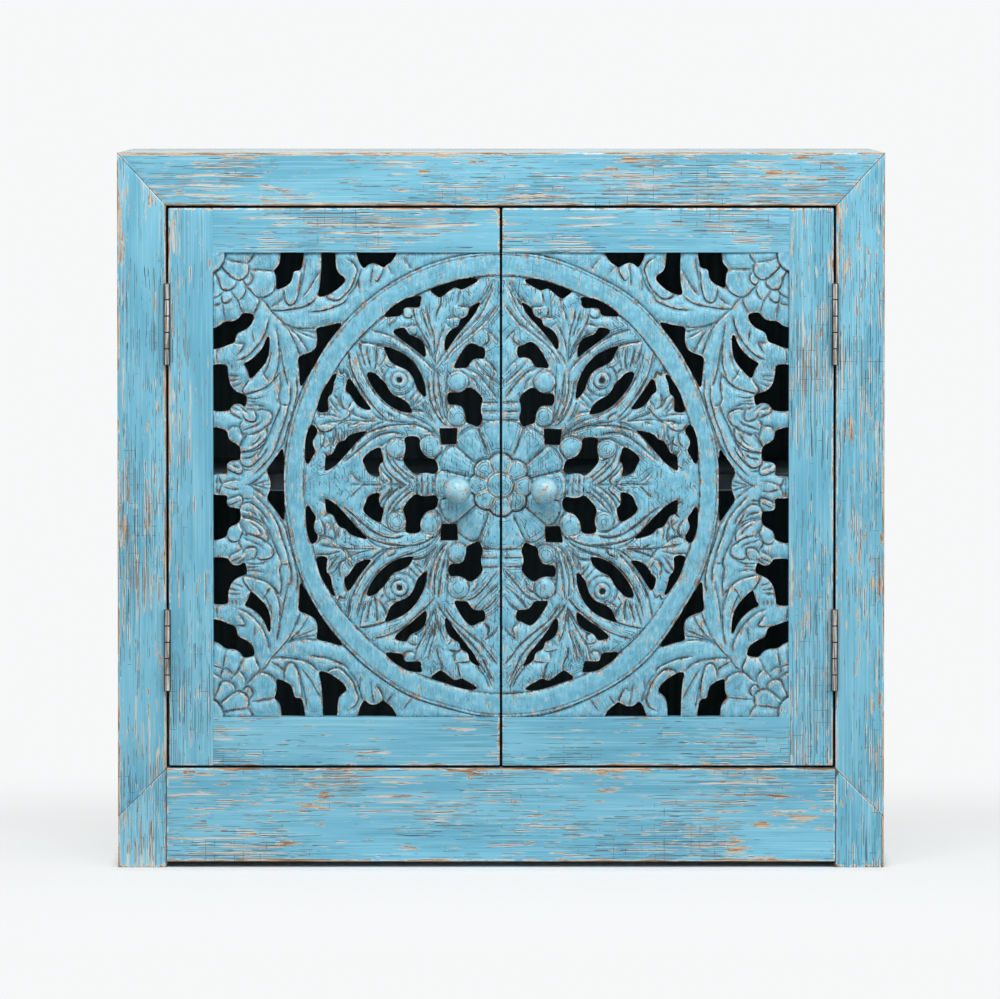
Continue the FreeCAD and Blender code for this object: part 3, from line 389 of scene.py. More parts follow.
TOP_SPRAY_LINES = (
    ((261, 297), (267, 303), (271, 309), (278, 316), (284, 322.5), (290, 330), (295, 340), (299, 349),
     (301, 356)),
    ((271, 309), (280, 309.5), (292, 308), (303, 306), (311, 302.5), (317, 297)),
    ((285, 289), (285, 295), (287, 301), (291, 304), (296, 301), (299, 293), (301, 283), (302, 270)),
    ((303, 297), (310, 288), (316, 278), (321, 270)),
    ((302, 284), (305, 272), (307, 260)),
    ((272, 306), (280, 301), (285, 296)),
    ((311, 310.5), (325, 309), (337, 305), (346, 300.5), (349, 295)),
    ((327, 293), (330, 297.5), (338, 299), (343, 296.5), (352, 287), (356.5, 276), (358.5, 269), (355, 262),
     (349, 259)),
    ((286, 323), (295, 326.5), (305, 327.5), (317, 327)),
    ((288, 326), (297, 333), (304, 342), (309, 351)),
    ((288, 325.5), (300, 331), (316, 338)),
    ((288, 325.5), (303, 329.5), (318, 332)),
    ((289, 328), (294, 338), (300, 350)),
    ((349, 295), (357, 285), (362, 270), (363, 266)),
    ((375, 262), (373, 275), (372, 285)),
    ((384.5, 265), (384, 271), (379, 279.5), (376, 277.5)),
    ((360, 276), (361, 290)),
    ((388, 263), (394, 272)),
    ((405, 257), (414, 268)),
)
SIDE_SPRAY_LINES = (
    ((269, 318), (267, 328), (262, 339), (254, 349), (246, 356), (238, 359)),
    ((276.5, 325), (279, 340), (280, 353), (279, 364), (276, 374), (273, 381)),
    ((280, 372), (281, 385), (279, 398), (281, 405), (277, 416), (272, 427), (268, 437), (262, 449),
     (257, 457)),
    ((291, 384), (291, 398), (289, 406), (286, 418), (281, 432), (277, 445), (271, 456), (262, 466),
     (254, 474)),
    ((297, 376), (298, 390), (296, 402), (292, 416), (288, 428), (284, 442), (278, 452)),
    ((281, 346), (283, 360), (286, 373), (289, 385)),
    ((281, 404), (289, 405)),
    ((253, 330), (254.5, 341)),
    ((236, 343), (244, 343.5), (240, 351), (238, 353)),
    ((217, 349), (217, 362)),
    ((251, 377), (247, 383), (243.5, 389), (244.5, 393), (254, 391), (266, 386.5), (274, 379.5),
     (280, 372)),
    ((262, 368), (266, 376), (270, 381)),
    ((272, 352), (268, 366), (262, 376)),
    ((232, 364), (232, 368)),
    ((236, 364), (236, 368.5)),
    ((240, 364), (240, 368)),
    ((229, 375), (240, 375.5)),
    ((229, 381), (240, 378.5)),
    ((232, 387), (242, 383)),
    ((247, 397), (255, 398), (263, 396)),
    ((248, 401), (258, 402)),
    ((247, 405), (258, 404.5), (266, 407)),
    ((247, 408), (252, 409.5), (256, 411)),
)
LEAF_CLUMP_LINES = (
    ((230, 408), (232, 413), (238, 416), (243, 419)),
    ((238, 404), (244, 409), (247, 412)),
    ((231, 407), (242, 411)),
    ((243, 413), (246, 419), (252, 421), (256, 419.5), (256, 413), (253, 408)),
    ((256, 411), (262, 409), (270, 411), (273, 416), (270, 423), (262, 428)),
    ((243, 420), (240, 425), (241, 430), (244, 434)),
    ((243, 430), (250, 427), (258, 424), (262, 420)),
    ((228, 431), (231, 427), (236, 426), (240, 428), (242, 433), (243, 438), (239, 443)),
    ((244, 434), (247, 433), (243, 440), (240, 444.5), (239, 449)),
    ((247, 434.5), (254, 433.5), (262, 430), (266, 427), (267.5, 432), (266, 438), (260, 444), (252, 449),
     (240, 451.5)),
    ((250, 446), (258, 440), (262, 433)),
    ((240, 452), (250, 451), (260, 447.5), (266, 441)),
    ((239, 456), (242, 464), (250, 466), (258, 460), (265, 452), (268, 446)),
    ((243, 458), (252, 456), (258, 451)),
    ((226, 468), (236, 472.5), (241, 473), (243, 468), (241, 462.5)),
    ((228, 463), (240, 468)),
    ((242, 470), (251, 470)),
    ((219, 474), (220, 480), (224, 487.5)),
    ((222, 483), (232, 480), (239, 480)),
    ((238, 487), (248, 485), (258, 479), (265, 472)),
    ((247, 487), (273, 484.5)),
    ((248, 486), (266, 472)),
    ((247, 487), (270, 480)),
    ((217, 485), (217, 475)),
)
RING_BUD_LINES = (
    ((337.5, 372), (340, 369), (342.5, 373), (346, 371), (349, 377)),
    ((338, 368), (344, 356), (348, 352)),
    ((368, 347), (370, 357), (373, 368)),
    ((378, 347), (378, 360), (376, 371)),
    ((361, 341), (363, 352), (367, 365)),
    ((385, 362), (391, 366), (397, 367)),
    ((381, 368), (386, 374)),
    ((388, 350), (386, 358), (381, 366)),
    ((411, 400), (418, 392), (421, 390)),
    ((414, 406), (420, 398), (425, 392)),
    ((412, 409), (425, 411), (433, 417)),
    ((424, 400), (428, 410), (434, 420)),
    ((418, 404), (424, 399)),
    ((316, 452), (312, 458)),
    ((322, 468), (327, 465), (329, 458), (324, 452)),
)
SIDE_LEAF_LINES = (
    ((329, 396), (333, 402), (338, 409), (341, 412)),
    ((333, 393.5), (338, 398), (342, 405), (344, 408)),
    ((332, 408), (338, 413)),
    ((343, 393), (342, 400), (344, 406), (348, 408.5)),
    ((354, 400), (351, 405), (349, 409)),
    ((317, 424), (321, 430), (327, 431), (334, 428), (336, 425)),
    ((318, 414), (330, 414), (341, 417)),
    ((322, 424), (328, 423), (332, 425)),
    ((326, 422), (340, 421), (350, 420)),
    ((320, 433), (325, 434), (324, 443), (320, 449)),
    ((329, 437), (331, 443), (326, 447)),
    ((336, 426), (337, 434), (334, 443), (337, 447)),
    ((332, 440), (332, 452)),
    ((341, 429), (339.5, 436), (341, 443)),
    ((347, 432), (345, 440)),
    ((338, 424), (343, 421), (350, 415), (355, 408)),
    ((350, 420), (365, 420.5), (377, 420.5)),
    ((352, 425), (362, 421)),
    ((350, 411), (360, 416), (372, 419.5)),
    ((372, 410), (380, 417), (388, 420.5)),
    ((368, 431), (378, 424), (388, 421)),
)
STEM_LINES = (
    ((350, 352), (353, 368), (360, 384), (369, 398), (379, 410), (388, 419)),
    ((358, 350), (362, 366), (370, 383), (381, 398), (392, 407), (404, 413), (418, 418), (430, 424),
     (437, 431), (441, 438)),
    ((388, 412), (395, 416), (396, 421)),
    ((352, 452), (360, 440), (370, 432), (384, 427), (398, 424.5), (412, 424), (422, 426), (431, 430),
     (437, 436)),
    ((345, 462), (354, 455), (363, 447), (372, 440), (383, 434), (395, 432), (404, 434)),
    ((388, 420.5), (396, 421), (410, 423)),
    ((427, 400), (431, 412), (437, 422)),
    ((430, 378), (432, 395), (437, 410), (444, 421), (448, 424)),
    ((436, 372), (436, 390), (440, 407), (447, 422)),
    ((440, 370), (442, 390), (446, 410), (449, 421)),
    ((450, 372), (449, 390), (449, 405), (450, 420)),
    ((438, 366), (444, 356), (452, 346), (462, 336), (474, 324), (484, 312), (491, 298), (497, 285)),
    ((446, 362), (454, 350), (464, 341), (476, 331), (486, 322), (494, 312), (500, 304)),
    ((375, 330), (390, 334), (404, 341), (416, 351), (427, 360), (436, 370)),
    ((361, 341), (374, 343), (388, 347), (402, 352), (413, 361), (422, 373), (428, 388)),
    ((496, 280), (492, 290), (486, 300), (481, 306)),
    ((493, 281), (488, 292), (480, 302)),
)
SCROLL_LINES = (
    ((424, 436.5), (422, 446), (424, 453), (430, 458.5), (437, 458), (442, 450), (443, 442), (440, 435),
     (434, 431), (428, 432)),
    ((430, 438), (429, 447), (433, 452)),
    ((435, 435), (430, 443)),
    ((381, 447), (388, 442), (396, 439), (406, 438)),
    ((390, 449), (394, 455), (400, 459), (404, 460)),
    ((389, 449), (391, 446), (400, 444), (407, 444)),
    ((382, 450), (384, 460), (389, 470), (397, 478), (406, 484)),
    ((388, 452), (391, 461), (398, 470), (407, 478), (412, 482)),
    ((393, 457), (400, 466), (410, 475), (416, 478)),
    ((352, 473), (358, 479), (364, 484)),
    ((380, 464), (385, 472), (393, 480), (389, 485)),
    ((380, 478), (386, 483), (389, 485)),
    ((352, 484.5), (385, 484.5)),
    ((389, 484.5), (408, 484.5)),
    ((419, 475), (419, 484.5)),
    ((424, 474), (424, 484.5)),
    ((430, 474), (430, 484.5)),
    ((435, 474), (435, 484.5)),
    ((454, 369), (451, 380), (450, 390)),
    ((462, 368), (466, 376), (469, 383), (467, 389)),
    ((459, 372), (458, 384), (460, 391)),
    ((472, 376), (478, 381), (480, 388)),
    ((452, 421), (457, 412), (466, 406)),
    ((456, 423), (463, 416), (468, 414)),
    ((440, 469), (437, 477), (436, 484.5)),
)
PALMETTE_LINES = (
    ((483, 402), (501, 402)),
    ((483, 411), (501, 411)),
    ((483, 420), (501, 420)),
    ((468, 368), (478, 372), (487, 381), (494, 390), (500, 398)),
    ((486, 357.5), (494, 364), (500, 372)),
    ((488, 329), (495, 334), (500, 341)),
    ((476, 358), (482, 366), (490, 374), (500, 383)),
    ((485, 345), (491, 340), (490, 333)),
)
UPPER_LEAF_LINES = (
    ((429, 306), (431, 318), (436, 335), (437, 352), (437, 362)),
    ((424, 310), (429, 325), (434, 338)),
    ((443, 293), (443, 303), (439, 312), (438, 320)),
    ((463, 288), (460, 300), (458, 304)),
    ((456, 307), (456, 313), (459, 317)),
    ((460, 305), (470, 306), (472, 308), (470, 315)),
    ((450, 318), (458, 316), (462, 318)),
    ((448, 322), (453, 327)),
    ((447, 325), (441, 340), (438, 356)),
    ((405, 308), (406, 315), (412, 316.5), (416, 313)),
    ((408, 327), (413, 324), (419, 324)),
    ((418, 328), (418, 333), (412, 334)),
    ((412, 333), (420, 336), (428, 345), (433, 356)),
    ((415, 306), (418, 320), (425, 333), (431, 345), (436, 360)),
)
CUT_LINES = (CORNER_FLOWER_LINES + TOP_SPRAY_LINES + SIDE_SPRAY_LINES + LEAF_CLUMP_LINES + RING_BUD_LINES
             + SIDE_LEAF_LINES + STEM_LINES + SCROLL_LINES + PALMETTE_LINES + UPPER_LEAF_LINES)

# Carving worked out as a height over a grid on each door's field, in pixels across and millimetres high

FIELD_ACROSS = SEAM_PIXEL - STILE_PIXEL
FIELD_HALF_UP = MIDDLE_PIXEL - FIELD_TOP_PIXEL
GRID_STEP = 0.66
TUCK = 1.5
FAR = 9.0
OPENING_EASE = 0.7
ON_EDGE = 0.505 * GRID_STEP
FURTHEST_PULL = 0.46 * GRID_STEP
LEAST_STEEPNESS = 0.3
OUTLINE_STEPS = 5
LINE_STEPS = 4
BELL_REACH = 3
JOINING_DISTANCE = 1e-7

# the hand's unevenness: how far the drawn lines drift, and where they keep still
HAND_DRIFT = 0.9
DRIFT_SIZE = 22
DRIFT_BELOW = 50
DRIFT_FROM_SEAM = 20
DRIFT_AT_SEAM = 0.2
DRAW_SEEDS = {-1: 40, 1: 60}
SWELL = 0.40
SWELL_SIZE = 11
FACET = 0.10
FACET_SIZE = 2.0

# cuts, what stands up beside them, and the fall towards the openings
GROOVE_HALF = 1.6
GROOVE_DEPTH = 1.1
PILLOW_REACH = 4.2
PILLOW_DEPTH = 1.2
LIFT = 1.0
LIFT_REACH = 3.6
LOBE_TURN = np.radians(60)
STRAIGHT_LEAN = 0.4
LIT_SIDE = (0.5, 0.85)
TAPER = 1.3
TAPER_SHARE = 0.35
TAPER_RUN = 6
RIM_REACH = 3.6
RIM_DROP = 2.2
CREST_SIZE = 2.6
CREST_RISE = 0.7

# how much thinner than a full cut some of the lines are
TIP_THIN = 0.2
PARTING_THIN = 0.4
RING_INNER_THIN = 0.35
BEAD_THIN = 0.25
BALL_THIN = 0.2
EYE_THIN = 0.2
EYE_RING_THIN = 0.4
FRAME_THIN = 0.55

LEAF_HEIGHT = 3.9
HIGHEST = 5.97
CORNER_HEIGHT = HIGHEST
CORNER_FLAT = (206.5, 253.5, 18.6)

# the ring: its half axes, its shares of swell, fall and rim, and the strokes on, inside and outside it
RING_OUTER = (218.5, 234.0)
RING_INNER = (198.5, 210.5)
RING_HEIGHT = 5.0
RING_SWELL = 0.2
RING_FALL = 0.35
RING_RIM = 0.4
BEAD_WIDTH = 2.8
RING_STROKES = 0.3
INNER_STROKES = 1.0
OUTER_STROKES = 0.45

# the flower on the seam
PETAL_TIP = 65
PETAL_NOTCH = 5
PETAL_ROOT = 31
PETAL_REACHES = np.array([PETAL_ROOT + 1, 48, PETAL_TIP - 1])
PETAL_HEIGHT = 3.4
PETAL_DOME = 1.2
PETAL_FALL = 0.9
PETAL_RIB = 0.16
PETAL_RIB_COUNT = 2.5
PETAL_PARTINGS = np.radians((14, 41, 69))
PETAL_MIDDLES = np.radians((0, 27.5, 55, 90))
PETAL_HALVES = np.radians((14, 13.5, 14, 21))
LOBE_RADIUS = 11.5
LOBE_CIRCLE = 20
LOBE_ANGLES = np.radians((0, 45, 90))
LOBE_HEIGHT = 4.2
LOBE_DOME = 1.0
BUTTON_RADIUS = 12.5
BUTTON_HEIGHT = 5.6
BUTTON_FALL = 0.5

# the eyes and the balls in the tracery
EYE = (401, 379)
EYE_RADIUS = 15.5
EYE_HEIGHT = 3.4
EYE_RING = 8.5
EYE_CREST = (6, 2.0, 1.2)
EYE_BORE = (2.7, 6.5)
SCALLOP_COUNT = 11
SCALLOP_RISE = 0.35
SCALLOP_START = 8
SCALLOP_RUN = 6
# the eye's bored hole is marked as a cut, so the finish paints shade in it, and the ring round it as lifted,
# for a chalky line that is partly a painted highlight
PUPIL_RADIUS = 2.6
PUPIL_BORDER = 3
PUPIL_LIFT = 0.8
BALL_RISE = 1.4
BALL_LIFT = 0.6
SCROLL_BALLS = ((459.8, 415, 10.5), (432.3, 446, 11.5), (460, 381, 11), (398, 447.8, 10))

BACK_MARKS = {"cut_px": 9.0, "gap_px": 4.0, "lift": 0.0, "crest": 0.0, "strokes": 0.3}


def smooth_outline(poles):
    """Closed smooth line drawn by its corner points: from the middle of one side to the middle of the next
    it is a parabola pulled towards the corner between them."""
    poles = np.array(poles, float)
    start = (np.roll(poles, 1, 0) + poles) / 2
    end = (poles + np.roll(poles, -1, 0)) / 2
    part = np.linspace(0, 1, OUTLINE_STEPS, endpoint=False)[:, None, None]
    points = (1 - part) ** 2 * start + 2 * part * (1 - part) * poles + part ** 2 * end
    points = points.transpose(1, 0, 2).reshape(-1, 2)
    return np.concatenate([points, points[:1]])


def smooth_line(points):
    """Smooth open line through its points: between two of them a cubic whose slopes follow their
    neighbours."""
    points = np.array(points, float)
    padded = np.concatenate([[2 * points[0] - points[1]], points, [2 * points[-1] - points[-2]]])
    before, start, end, after = padded[:-3], padded[1:-2], padded[2:-1], padded[3:]
    part = np.linspace(0, 1, LINE_STEPS, endpoint=False)[:, None, None]
    slope = end - before
    curve = 2 * before - 5 * start + 4 * end - after
    twist = 3 * start - before - 3 * end + after
    line = start + (slope * part + curve * part ** 2 + twist * part ** 3) / 2
    return np.concatenate([line.transpose(1, 0, 2).reshape(-1, 2), points[-1:]])


def near_line(x, y, line):
    """The grid points near a line's box and, for each, its distance to the line, how far along the line the
    nearest place is, and the side of the line it lies on: 1 on the left, -1 on the right."""
    low = line.min(0) - FAR
    high = line.max(0) + FAR
    near = (x > low[0]) & (x < high[0]) & (y > low[1]) & (y < high[1])
    spot = np.stack([x[near], y[near]], -1)[:, None]
    start = line[:-1]
    run = np.diff(line, axis=0)
    length = np.hypot(run[:, 0], run[:, 1])
    part = np.clip(((spot - start) * run).sum(-1) / length ** 2, 0, 1)
    offset = spot - start - part[..., None] * run
    apart = np.hypot(offset[..., 0], offset[..., 1])
    along = np.cumsum(length) - length + part * length
    side = np.sign(run[:, 0] * offset[..., 1] - run[:, 1] * offset[..., 0])
    nearest = apart.argmin(-1)[:, None]
    found = [np.take_along_axis(field, nearest, 1)[:, 0] for field in (apart, along, side)]
    return near, *found


def gap_to_openings(x, y):
    """Distance to the nearest opening, negative inside one: least distance to the outlines, with the sign
    from counting how often each outline is crossed on the way out, less a little so that every opening is
    wider."""
    gap = np.full(x.shape, FAR)
    for poles in OPENINGS:
        outline = smooth_outline(poles)
        near, apart = near_line(x, y, outline)[:2]
        start, end = outline[:-1], outline[1:]
        spot_x, spot_y = x[near][:, None], y[near][:, None]
        crosses = (start[:, 1] > spot_y) != (end[:, 1] > spot_y)
        rise = np.where(start[:, 1] == end[:, 1], 1.0, end[:, 1] - start[:, 1])
        crossing = start[:, 0] + (spot_y - start[:, 1]) / rise * (end[:, 0] - start[:, 0])
        inside = (crosses & (spot_x < crossing)).sum(-1) % 2 == 1
        gap[near] = np.minimum(gap[near], np.where(inside, -1, 1) * apart)
    return gap - OPENING_EASE


def bump(distance, reach):
    """1 at distance 0, falling as a bell curve."""
    return np.exp(-(distance / reach) ** 2)


def cut_marks(x, y, lines):
    """Distance to the nearest cut line, a little more near the ends of a line, and the lift beside the
    lines: the wood stands higher on the hollow side of a bent line, as a lobe does over what lies behind
    it, and on the lower side of a nearly straight one."""
    cut = np.full(x.shape, FAR)
    lift = np.zeros(x.shape)
    for points in lines:
        line = smooth_line(points)
        run = np.diff(line, axis=0)
        crossed = run[:-1, 0] * run[1:, 1] - run[:-1, 1] * run[1:, 0]
        turns = np.arctan2(crossed, (run[:-1] * run[1:]).sum(-1))
        lean = np.clip(turns.sum() / LOBE_TURN, -1, 1)
        if abs(lean) < STRAIGHT_LEAN:
            reach_x, reach_y = line[-1] - line[0]
            lean = STRAIGHT_LEAN * np.sign(LIT_SIDE[1] * reach_x - LIT_SIDE[0] * reach_y)
        length = np.hypot(run[:, 0], run[:, 1]).sum()
        near, apart, along, side = near_line(x, y, line)
        fade = np.clip(TAPER_SHARE + np.minimum(along, length - along) / TAPER_RUN, 0, 1)
        cut[near] = np.minimum(cut[near], apart + TAPER * (1 - fade))
        lift[near] += lean * side * fade * bump(apart, LIFT_REACH)
    return cut, lift


def softened(field, size):
    """A field smoothed by a bell curve of that size in grid steps, as if mirrored at its borders."""
    border = int(BELL_REACH * size) + 1
    padded = np.pad(field, border, mode="reflect")
    rows = np.fft.fftfreq(padded.shape[0])[:, None]
    columns = np.fft.rfftfreq(padded.shape[1])[None]
    bell = np.exp(-2 * (np.pi * size) ** 2 * (rows ** 2 + columns ** 2))
    smooth = np.fft.irfft2(np.fft.rfft2(padded) * bell, s=padded.shape)
    return smooth[border:-border, border:-border]


def soft_noise(shape, size, seed):
    """Seeded random field with features of one size in pixels, spread 1."""
    field = softened(np.random.default_rng(seed).standard_normal(shape), size / GRID_STEP)
    return field / field.std()


def flower_height(radius, angle):
    """Half flower on the seam: twelve petals domed across, falling towards their root, then eight round
    lobes and a button in the middle. Gives the height, the distance inwards from the petals' round tips,
    the distance to the lines round the lobes and the button, and 1 inside these and -1 outside."""
    number = np.digitize(angle, PETAL_PARTINGS)
    across = (angle - PETAL_MIDDLES[number]) / PETAL_HALVES[number]
    ribs = PETAL_RIB * np.cos(2 * np.pi * PETAL_RIB_COUNT * across)
    inwards = (PETAL_TIP - radius) / (PETAL_TIP - PETAL_ROOT)
    petals = PETAL_HEIGHT + PETAL_DOME * (1 - across ** 2) - PETAL_FALL * inwards + ribs
    from_tip = PETAL_TIP - PETAL_NOTCH * across ** 4 - radius
    lobe_x = LOBE_CIRCLE * np.cos(LOBE_ANGLES)
    lobe_y = LOBE_CIRCLE * np.sin(LOBE_ANGLES)
    here_x = (radius * np.cos(angle))[..., None]
    here_y = (radius * np.sin(angle))[..., None]
    from_lobe = np.hypot(here_x - lobe_x, here_y - lobe_y).min(-1)
    lobes = LOBE_HEIGHT + LOBE_DOME * (1 - (from_lobe / LOBE_RADIUS) ** 2)
    button = BUTTON_HEIGHT - BUTTON_FALL * (radius / BUTTON_RADIUS) ** 2
    on_button = radius < BUTTON_RADIUS
    on_lobe = from_lobe < LOBE_RADIUS
    height = np.where(on_button, button, np.where(on_lobe, lobes, petals))
    lobe_turn = LOBE_ANGLES[1] - LOBE_ANGLES[0]
    lobe_parting = radius * np.sin(np.abs(angle % lobe_turn - lobe_turn / 2))
    to_lobe = np.where(on_button, FAR, np.abs(from_lobe - LOBE_RADIUS))
    to_parting = np.where((radius > BUTTON_RADIUS) & on_lobe, lobe_parting + PARTING_THIN, FAR)
    lines = np.minimum(np.minimum(to_lobe, np.abs(radius - BUTTON_RADIUS)), to_parting)
    return height, from_tip, lines, np.where(on_button | on_lobe, 1.0, -1.0)


def petal_lines():
    """Straight cuts between the petals, from their roots to their tips."""
    reaches = PETAL_REACHES[:, None]
    return [np.array([SEAM_PIXEL, MIDDLE_PIXEL]) - reaches * (np.cos(angle), np.sin(angle))
            for angle in PETAL_PARTINGS]


def eye_height(radius, angle):
    """Scalloped rosette with a raised ring round a bored hole."""
    crest_place, crest_reach, crest_rise = EYE_CREST
    bore_radius, bore_depth = EYE_BORE
    outwards = np.clip((radius - SCALLOP_START) / SCALLOP_RUN, 0, 1)
    scallops = SCALLOP_RISE * np.cos(SCALLOP_COUNT * angle) * outwards
    crest = crest_rise * bump(radius - crest_place, crest_reach)
    return EYE_HEIGHT + scallops + crest - bore_depth * (radius < bore_radius)


def carving_of(side):
    """Everything known about one door's carving, on a grid of pixels from the seam and from the middle.

    Height in millimetres over the panel's ground: leaf level with slow swells, or the ring, the flower, the
    eye or the corner, less the grooves, the soft falls beside them and the rounding towards every opening.
    The lines are drawn for one quarter and mirrored, then pushed about by a pixel or two, as hand carving
    is.
    """
    columns = int(round((FIELD_ACROSS + TUCK) / GRID_STEP)) + 1
    rows = 2 * int(round((FIELD_HALF_UP + TUCK) / GRID_STEP)) + 1
    u, v = np.meshgrid(np.linspace(0, FIELD_ACROSS + TUCK, columns),
                       np.linspace(-FIELD_HALF_UP - TUCK, FIELD_HALF_UP + TUCK, rows))
    shape = u.shape
    seed = DRAW_SEEDS[side]
    drifting = 1 if side > 0 else np.clip(-v / DRIFT_BELOW, 0, 1)
    drift = HAND_DRIFT * drifting * np.clip(u / DRIFT_FROM_SEAM, DRIFT_AT_SEAM, 1)
    drawn_u = u + drift * soft_noise(shape, DRIFT_SIZE, seed)
    drawn_v = v + drift * soft_noise(shape, DRIFT_SIZE, seed + 1)
    swell = SWELL * soft_noise(shape, SWELL_SIZE, seed + 2)
    facets = FACET * soft_noise(shape, FACET_SIZE, seed + 3)
    x = SEAM_PIXEL - drawn_u
    y = MIDDLE_PIXEL - np.abs(drawn_v)

    # the parts of the pattern
    gap = gap_to_openings(x, y)
    cut, lift = cut_marks(x, y, list(CUT_LINES) + petal_lines())
    outer = (1 - np.hypot(drawn_u / RING_OUTER[0], drawn_v / RING_OUTER[1])) * np.mean(RING_OUTER)
    inner = (np.hypot(drawn_u / RING_INNER[0], drawn_v / RING_INNER[1]) - 1) * np.mean(RING_INNER)
    on_ring = (outer > 0) & (inner > 0)
    radius = np.hypot(drawn_u, drawn_v)
    angle = np.arctan2(np.abs(drawn_v), drawn_u)
    flower, from_tip, flower_lines, flower_side = flower_height(radius, angle)
    on_flower = from_tip > 0
    eye_radius = np.hypot(x - EYE[0], y - EYE[1])
    eye_angle = np.arctan2(y - EYE[1], x - EYE[0])
    from_corner = CORNER_FLAT[2] - np.hypot(x - CORNER_FLAT[0], y - CORNER_FLAT[1])
    on_corner = from_corner > 0

    # the lines, and the height that each part has without them
    height = LEAF_HEIGHT + swell + facets
    for ball_x, ball_y, ball_radius in SCROLL_BALLS:
        from_ball = np.hypot(x - ball_x, y - ball_y)
        on_ball = from_ball < ball_radius
        height = height + BALL_RISE * np.clip(1 - (from_ball / ball_radius) ** 2, 0, 1)
        cut = np.minimum(np.where(on_ball, FAR, cut), np.abs(from_ball - ball_radius) + BALL_THIN)
        ball_lift = BALL_LIFT * bump(ball_radius - from_ball, LIFT_REACH / 2)
        lift = np.where(on_ball, ball_lift, lift)
    height = np.where(on_flower, flower + facets, height)
    height = np.where(eye_radius < EYE_RADIUS, eye_height(eye_radius, eye_angle), height)
    height = np.where(on_ring, RING_HEIGHT + RING_SWELL * swell + facets, height)
    plain = on_ring | on_corner
    cut = np.where(plain, FAR, cut)
    lift = np.where(plain, 0, lift)
    lift = lift + np.where(on_flower, flower_side * bump(flower_lines, LIFT_REACH / 2), 0)
    to_tips = np.abs(from_tip) + TIP_THIN
    to_ring = np.where(np.abs(outer) < np.abs(inner), np.abs(outer), np.abs(inner) + RING_INNER_THIN)
    to_bead = np.where(on_ring, np.abs(outer - BEAD_WIDTH) + BEAD_THIN, FAR)
    to_eye = np.abs(eye_radius - EYE_RADIUS) + EYE_THIN
    to_eye_ring = np.abs(eye_radius - EYE_RING) + EYE_RING_THIN
    to_flower = np.where(on_flower, flower_lines, FAR)
    for to_line in (to_tips, to_flower, to_ring, to_bead, np.abs(from_corner), to_eye, to_eye_ring):
        cut = np.minimum(cut, to_line)
    to_frame = np.abs(np.minimum(FIELD_ACROSS - u, FIELD_HALF_UP - np.abs(v))) + FRAME_THIN
    cut = np.where(from_corner > GROOVE_HALF, FAR, np.minimum(cut, to_frame))

    # the cut height, and the marks for the finish
    groove = GROOVE_DEPTH * np.clip(1 - cut / GROOVE_HALF, 0, 1)
    lift = np.clip(lift, -1, 1)
    fall = PILLOW_DEPTH * np.where(on_ring, RING_FALL, 1.0) * bump(cut, PILLOW_REACH)
    height = height + LIFT * lift - groove - fall
    height = np.where(on_corner, CORNER_HEIGHT - groove, height)
    rim_drop = np.where(on_ring, RING_RIM * RIM_DROP, RIM_DROP)
    around = softened(height, CREST_SIZE / GRID_STEP)
    # the marks steer the finish: cut_px its painted shade in the cuts and the eye's bore, crest its painted
    # highlight on crests, painted shade in hollows and more flecks on crests, lift its chalky lines that are
    # partly a painted highlight
    marks = {
        "cut_px": np.minimum(cut, np.maximum(eye_radius - PUPIL_RADIUS, 0)),
        "gap_px": np.maximum(gap, 0),
        "lift": np.where(eye_radius < PUPIL_RADIUS + PUPIL_BORDER, PUPIL_LIFT, lift),
        "crest": np.clip((height - around) / CREST_RISE, -1, 1),
        "strokes": np.where(on_ring, RING_STROKES, np.where(outer > 0, INNER_STROKES, OUTER_STROKES)),
    }
    return {"u": u, "v": v, "gap": gap, "height": height, "rim_drop": rim_drop,
            "outer": outer, "inner": inner, "marks": marks}


def loose_edges(faces, total):
    """Directed edges of the faces that no other face shares, as pairs of points."""
    starts = np.concatenate([corner_set.ravel() for corner_set in faces])
    ends = np.concatenate([np.roll(corner_set, -1, 1).ravel() for corner_set in faces])
    forward = starts.astype(np.int64) * total + ends
    backward = ends.astype(np.int64) * total + starts
    alone = ~np.isin(forward, backward)
    return starts[alone], ends[alone]


def cells_of(field):
    """Values at the four corners of each cell of a grid, going round it."""
    return np.stack([field[:-1, :-1], field[:-1, 1:], field[1:, 1:], field[1:, :-1]], -1).reshape(-1, 4)


def beside(cells, rows):
    """Whether a cell has one of the given cells at a side."""
    padded = np.pad(cells.reshape(rows, -1), 1)
    return (padded[:-2, 1:-1] | padded[2:, 1:-1] | padded[1:-1, :-2] | padded[1:-1, 2:]).ravel()


def grid_faces(solid, used_rows):
    """Faces of the grid on the wood: whole cells, and half cells where one corner lies in an opening.
    Points less than about half a step from the edge of the wood count as on it, and a cell with no whole
    one beside it is left out. Gives the squares, the triangles and those points."""
    on_edge = np.abs(solid) < ON_EDGE
    wood = (solid > 0) | on_edge
    number = cells_of(np.arange(solid.size).reshape(solid.shape))
    is_wood = cells_of(wood)
    deep = is_wood & ~cells_of(on_edge)
    depth = cells_of(solid)
    row_count, column_count = np.array(solid.shape) - 1
    used = np.repeat(used_rows, column_count)
    whole = used & is_wood.all(1) & (deep.any(1) | (depth.mean(1) > 0))
    half = used & (is_wood.sum(1) == 3)
    lost = np.argmin(is_wood[half], 1)
    picks = (lost[:, None] + np.array([1, 2, 3])) % 4
    triangles = np.take_along_axis(number[half], picks, 1)
    keeps = np.take_along_axis(deep[half], picks, 1).any(1)
    keeps |= np.take_along_axis(depth[half], picks, 1).mean(1) > 0
    whole = whole & beside(whole, row_count)
    keeps = keeps & beside(whole, row_count)[half]
    return number[whole], triangles[keeps], on_edge


